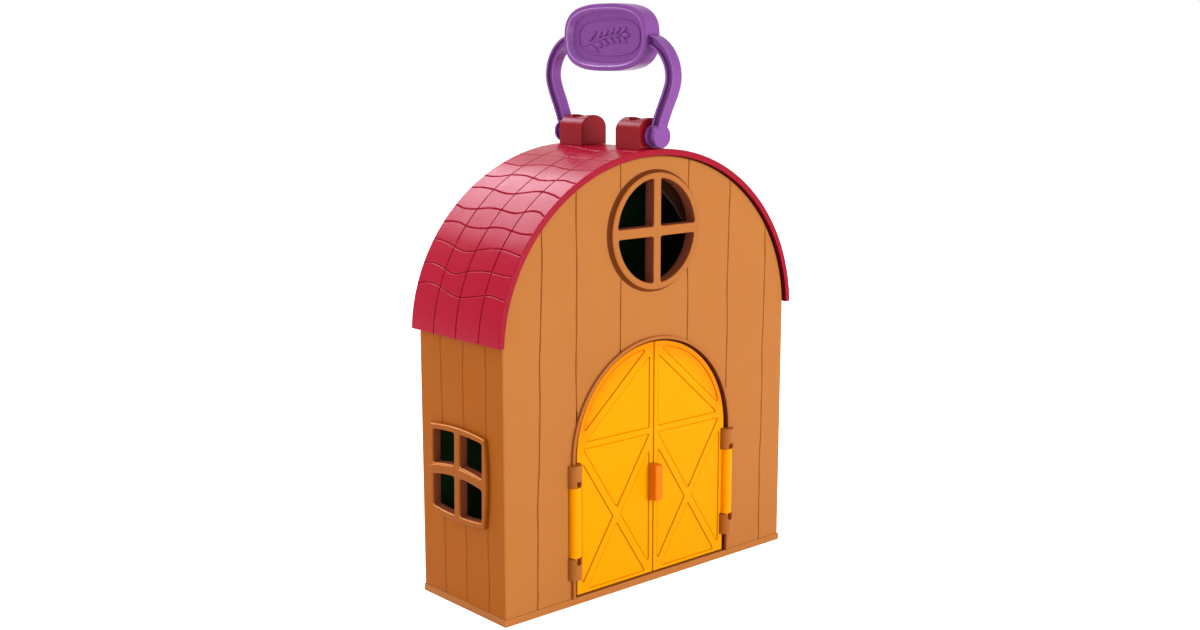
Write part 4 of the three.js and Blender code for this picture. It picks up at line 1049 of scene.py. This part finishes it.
def brackets():
    """Four brackets with a round nose; a round-ended window at the barrel's end shows the pin."""
    nose_r, back, seat = 4.4, -35.0, -37.9
    # plan of the nose round the pin, with a heel that backs it inside the doorway
    plan = [(HINGE_X - 0.3, back), (HINGE_X - 0.3, seat), (HINGE_X + nose_r, seat)]
    plan += arc(HINGE_X, HINGE_Y, nose_r, -nose_r, 0, 180, 24)
    plan += [(HINGE_X - nose_r, back)]
    for side, place in SIDES:
        for level, low, high in (("lower", 15.8, 28.1), ("upper", 69.7, 82.0)):
            # the barrel stands over a lower bracket and under an upper one
            tip, way, turn = (high, 1, 180) if level == "lower" else (low, -1, 0)
            nose = pushed([(x, y, low) for x, y in plan], (0, 0, high - low))
            soften(nose, 0.6, 3, 60, lambda m: m.y < HINGE_Y - 0.05)
            window = arc(HINGE_X, tip - way * 1.9, 1.75, 1.75, turn, turn + 180, 14)
            window += [(window[i][0], tip + way * 1.3) for i in (-1, 0)]
            bore = sorted((tip - way * 5.5, tip + way * 2.3))
            nose = carved(nose, rod(2.0, *bore, "Z", (HINGE_X, HINGE_Y), 28))
            nose = carved(nose, prism(window, -50, HINGE_Y + 0.35))
            if side < 0:
                flipped(nose)
            finish(f"bracket_{place}_{level}", nose, ["trim"], "barn",
                   [f"hinge_bracket_{place}_{level}"])


def surround():
    """Raised bead round the doorway, above the brackets and below them."""
    face, seat = FRONT - BEAD_PROUD, FRONT - 0.1
    inner, outer = OPENING_R, OPENING_R + BEAD_WIDTH
    section = [(inner, seat), (outer, seat), (outer, face + 0.5), (outer - 0.15, face + 0.15),
               (outer - 0.5, face), (inner + 0.5, face), (inner + 0.15, face + 0.15), (inner, face + 0.5)]
    bead = round_doorway(section, UPPER_BRACKET)
    # painted shade on the bead's inner side
    paint(bead, 1, lambda m, n: from_doorway(m) < inner + 0.05)
    finish("doorway_bead", bead, ["trim", "flank_shade"], "barn", ["door_surround"])
    for side, place in SIDES:
        foot = swept([[(r, y, z) for r, y in section] for z in (SHELL_BOTTOM, LOWER_BRACKET)])
        if side < 0:
            flipped(foot)
        finish(f"bead_foot_{place}", foot, ["trim"], "barn", [f"surround_foot_{place}"])


# ---- Windows

def round_window():
    """Round frame with a cross of bars; its rim tapers towards the face."""
    face, seat, back = FRONT - 2.9, FRONT - 0.1, -33.6
    # depth, half width and half height of the rim
    rims = [(seat, 35.9, 34.8), (seat - 0.5, 35.3, 34.3), (seat - 1.2, 34.6, 33.7), (face + 0.6, 34.0, 33.2),
            (face + 0.25, 33.85, 33.05), (face + 0.05, 33.6, 32.8), (face, 33.2, 32.4)]
    flange = swept([
        [(x, y, z) for x, z in arc(ROUND_X, ROUND_Z, wide, tall, 0, 356.25, 95)] for y, wide, tall in rims])
    body = joined(flange, rod(31.1, seat - 0.1, back, "Y", (0, ROUND_Z), 96))
    panes = []
    for sx in (-1, 1):
        for sz in (-1, 1):
            r = 30.1 if sz > 0 else 29.6
            start, end = (math.degrees(turn(ROUND_BAR / r)) for turn in (math.asin, math.acos))
            corner = trimmed_corners([(ROUND_BAR, ROUND_BAR)] + arc(0, 0, r, r, start, end, 20), 1.5)
            panes.append(prism([(ROUND_X + sx * a, ROUND_Z + sz * b) for a, b in corner], face - 5, back + 5))
    body = carved(body, together(*panes))
    soften(body, 0.6, 3, 40, lambda m: m.y < face + 0.05)
    body.normal_update()
    # painted shade on the walls of the panes
    paint(body, 1, lambda m, n: abs(n.y) < 0.35)
    # painted shade on the outer side of the round frame's rim
    paint(body, 2, lambda m, n: math.hypot(m.x - ROUND_X, m.z - ROUND_Z) > 32.6 and m.y > face + 0.45)
    finish("round_window", body, ["trim", "reveal_shade", "flank_shade"], "barn",
           ["round_window_frame"])


def transom(x):
    """Height of the middle line of a side window's transom, which arches up."""
    return 1.7 - 2.4 * (x / PANE_OUT) ** 2


def cushion(side, sx, face):
    """One half of the transom, raised, with round ends; it runs out into the frame at its front end."""
    spots = evenly(1.6, 24.2, 10)
    outline = [(x, transom(x) - 2.3) for x in spots] + [(x, transom(x) + 2.5) for x in spots[::-1]]
    pad = prism(trimmed_corners(outline, 1.3), face - 0.75, face + 0.6)
    soften(pad, 0.7, 4, 50, lambda m: m.y < face - 0.7)
    if sx < 0:
        flipped(pad)
    start, end = (pick(vert.co.x for vert in pad.verts) for pick in (min, max))
    for vert in pad.verts:
        if vert.co.y < face:
            along = (vert.co.x - start) / (end - start)
            fall = along if side < 0 else 1 - along
            vert.co.y = face + (vert.co.y - face) * (1 - 0.92 * fall)
    return pad


def side_window(side, place):
    """Bowed four-pane frame with a cushioned transom."""
    face, seat, back = -2.6, -0.1, 2.7
    body = joined(
        prism(side_window_outline(24.8, 25.2), face, seat),
        prism(side_window_outline(23.9, 24.3), seat - 0.1, back))

    def bulge(x):
        return 1.7 * (1 - (x / 24.8) ** 2)

    across = evenly(PANE_IN, PANE_OUT, 8)
    lower = [(x, -21.9 - bulge(x)) for x in across] + [(x, transom(x) - 3.1) for x in across[::-1]]
    upper = [(x, transom(x) + 3.3) for x in across] + [(x, 22.0 + bulge(x)) for x in across[::-1]]
    body = carved(body, together(*[
        prism([(sx * x, z) for x, z in trimmed_corners(pane, 1.4)], face - 5, back + 5)
        for sx in (-1, 1) for pane in (lower, upper)]))
    soften(body, 1.1, 4, 40, lambda m: m.y < face + 0.05)
    together(body, cushion(side, -1, face), cushion(side, 1, face))
    body.normal_update()
    # painted highlight on the rounded edges that face up or towards the rear
    paint(body, 2, lambda m, n: 0.3 < abs(n.y) < 0.97 and max(n.z, side * n.x) > 0.2 and m.y < face + 1.1)
    # painted shade on the walls of the panes
    paint(body, 1, lambda m, n: abs(n.y) < 0.35 and abs(m.x) < 23 and abs(m.z) < 24 and m.y > face + 0.9)
    to_side(leaned(body, side), side)
    finish(f"side_window_{place}", body, ["sash", "reveal_shade", "sash_highlight"], "barn",
           [f"side_window_frame_{place}"])


# ---- Base and rear

def base_plate():
    """The plinth keeps its CAD solid and gets soft edges."""
    source = bmesh.new()
    source.from_mesh(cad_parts["floor_plate"].data)
    bmesh.ops.scale(source, vec=(1 / MM,) * 3, verts=source.verts)
    bmesh.ops.remove_doubles(source, verts=source.verts, dist=1e-3)
    levelled(source, 0.5)
    soften(source, 0.45, 3, 60, lambda m: m.z > 3.9 and (abs(m.x) > 109 or m.y < -38) and m.z < 4.1)
    finish("base_plate", source, ["wall"], "barn", ["floor_plate"])


def rear_panel():
    """Fold-down panel with engraved planks, a finger notch and its two clips."""
    panel = prism(arch(PANEL_HALF, 0.5, WALL_TOP, PANEL_RISE), PANEL_IN, PANEL_OUT)
    soften(panel, 0.5, 3, 60, lambda m: m.y > PANEL_OUT - 0.05)
    notch = rod(8.0, PANEL_IN - 5, PANEL_OUT + 5, "Y", (0, WALL_TOP + PANEL_RISE), 40)
    panel = carved(panel, notch, *[
        block((x - 14.25, PANEL_IN - 5, -5), (x + 14.25, PANEL_OUT + 5, 6.0)) for x in CLIPS])
    webs = [block((x - 9.6, 33.05, PANEL_HINGE[1]), (x + 9.6, 35.5, 7.0)) for x in CLIPS]
    panel = joined(panel, *webs, *[rod(2.55, x - 9.75, x + 9.75, "X", PANEL_HINGE, 28) for x in CLIPS])
    bores = []
    for x in CLIPS:
        bores.append(rod(1.55, x - 12, x + 12, "X", PANEL_HINGE, 24))
        bores.append(block((x - 12, PANEL_HINGE[0], 2.125), (x + 12, 41, 3.675)))
    panel = carved(panel, *bores)
    seams = []
    for i, x in enumerate(PANEL_SEAMS):
        top = WALL_TOP + PANEL_RISE * math.sqrt(1 - (x / PANEL_HALF) ** 2) + 2
        line = wandering(x - 0.8, x + 0.6, 6.5, top, 0.3, 1.3 * i)
        seams.append(seam_cutter(line, lambda a, z, d: (a, PANEL_OUT - d, z)))
    panel = carved(panel, together(*seams))
    finish("rear_panel_dressed", panel, ["wall"], "yard_panel", ["rear_panel"])


def yard():
    """Green yard sheet with a raised rim and the panel's finger notch."""
    half, low, rise = 103.4, 8.0, 93.4
    body = prism(arch(half, low, WALL_TOP, rise), SHEET_IN, SHEET_OUT)
    field = prism(arch(half - SHEET_RIM, low + SHEET_RIM, WALL_TOP, rise - SHEET_RIM), 20.0, 30.1)
    body = carved(body, field, rod(11.2, 20, 40, "Y", (0, WALL_TOP + PANEL_RISE), 40))
    soften(body, 0.4, 3, 50, lambda m: m.y < SHEET_IN + 0.05)
    finish("yard_sheet", body, ["yard"], "yard_panel", ["yard_liner"])


def screws():
    """The screws keep their CAD solids and get a plated finish."""
    for name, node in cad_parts.items():
        if "screw" in name:
            for slot in node.material_slots:
                slot.material = SCREW_STEEL


# ---- Stage

# Name, place, target, size, watts and colour
LAMPS = [
    ("key", (0.5, -1.65, 0.75), (0, 0, 0.13), (0.9, 0.9), 11.8, (1, 1, 1.02)),
    ("left_top", (-0.55, 0.1, 0.5), (0, 0, 0.3), (0.3, 0.3), 0.4, (0.95, 0.95, 1.1)),
    ("low_fill", (0.45, -1.5, 0.12), (0.03, 0, 0.02), (0.9, 0.24), 9.5, (1, 1, 1)),
    ("left_back", (-1.5, 0.55, 0.6), (0, 0, 0.16), (0.8, 0.9), 5.8, (1.0, 0.95, 0.95)),
    ("back_sheen", (-0.09, 1.29, 1.39), (-0.07, 0, 0.22), (1.25, 0.65), 22, (1.0, 0.88, 1.02))]
WORLD_LEVEL = 0.58
FLOOR_GLOW = 0.76


def backdrop_rays(tree):
    """1 for the rays that show the backdrop: straight from the camera, or by gloss or through glass."""
    path = add_node(tree, "LightPath", {}).outputs
    mirrored = maths(tree, "MAXIMUM", path["Is Glossy Ray"], path["Is Transmission Ray"])
    return maths(tree, "MAXIMUM", path["Is Camera Ray"], mirrored)


def stage():
    """Plain pale floor, soft lamps and the camera."""
    bm = bmesh.new()
    bmesh.ops.create_grid(bm, x_segments=1, y_segments=1, size=6.0)
    floor = made_object(bm, "floor")
    material, tree, shader = new_material("pale_floor")
    feed(tree, shader, {"Base Color": (0.86, 0.86, 0.86, 1), "Roughness": 0.9, "Specular IOR Level": 0.1})
    # the floor shows as white to the camera, and keeps the object's shadow
    glow = add_node(tree, "Emission", {"Strength": maths(tree, "MULTIPLY", backdrop_rays(tree), FLOOR_GLOW)})
    total = add_node(tree, "AddShader", {0: shader.outputs[0], 1: glow.outputs[0]})
    feed(tree, tree.nodes["Material Output"], {"Surface": total.outputs[0]})
    floor.data.materials.append(material)

    scene = bpy.context.scene
    scene.view_settings.view_transform = "Standard"
    world = bpy.data.worlds.new("studio")
    scene.world = world
    world.use_nodes = True
    tree = world.node_tree
    level = add_node(tree, "MapRange", {"Value": backdrop_rays(tree), "To Min": WORLD_LEVEL, "To Max": 1.0})
    feed(tree, tree.nodes["Background"], {"Color": (1, 1, 1, 1), "Strength": level.outputs["Result"]})

    for name, place, target, size, watts, colour in LAMPS:
        data = bpy.data.lights.new(name, "AREA")
        data.shape = "RECTANGLE"
        data.size, data.size_y = size
        data.energy = watts
        data.color = colour
        lamp = placed(name, data)
        lamp.location = place
        lamp.rotation_euler = (Vector(target) - Vector(place)).to_track_quat("-Z", "Y").to_euler()

    data = bpy.data.cameras.new("camera")
    data.sensor_width = 36.0
    data.lens = 43.56
    data.clip_start = 0.01
    data.clip_end = 20
    camera = placed("camera", data)
    camera.location = (-0.56523, -0.62924, 0.30806)
    camera.rotation_euler = (math.radians(79.676), 0, math.radians(-41.515))
    scene.camera = camera


barn_body()
roof()
lug("lug_rear", 1, "roof_lug_rear")
lug("lug_front", -1, "roof_lug_front")
handle()
door(1, "right_leaf", "door_right")
door(-1, "left_leaf", "door_left")
pull_bar()
brackets()
surround()
round_window()
for side, place in SIDES:
    side_window(side, place)
base_plate()
rear_panel()
yard()
screws()
stage()
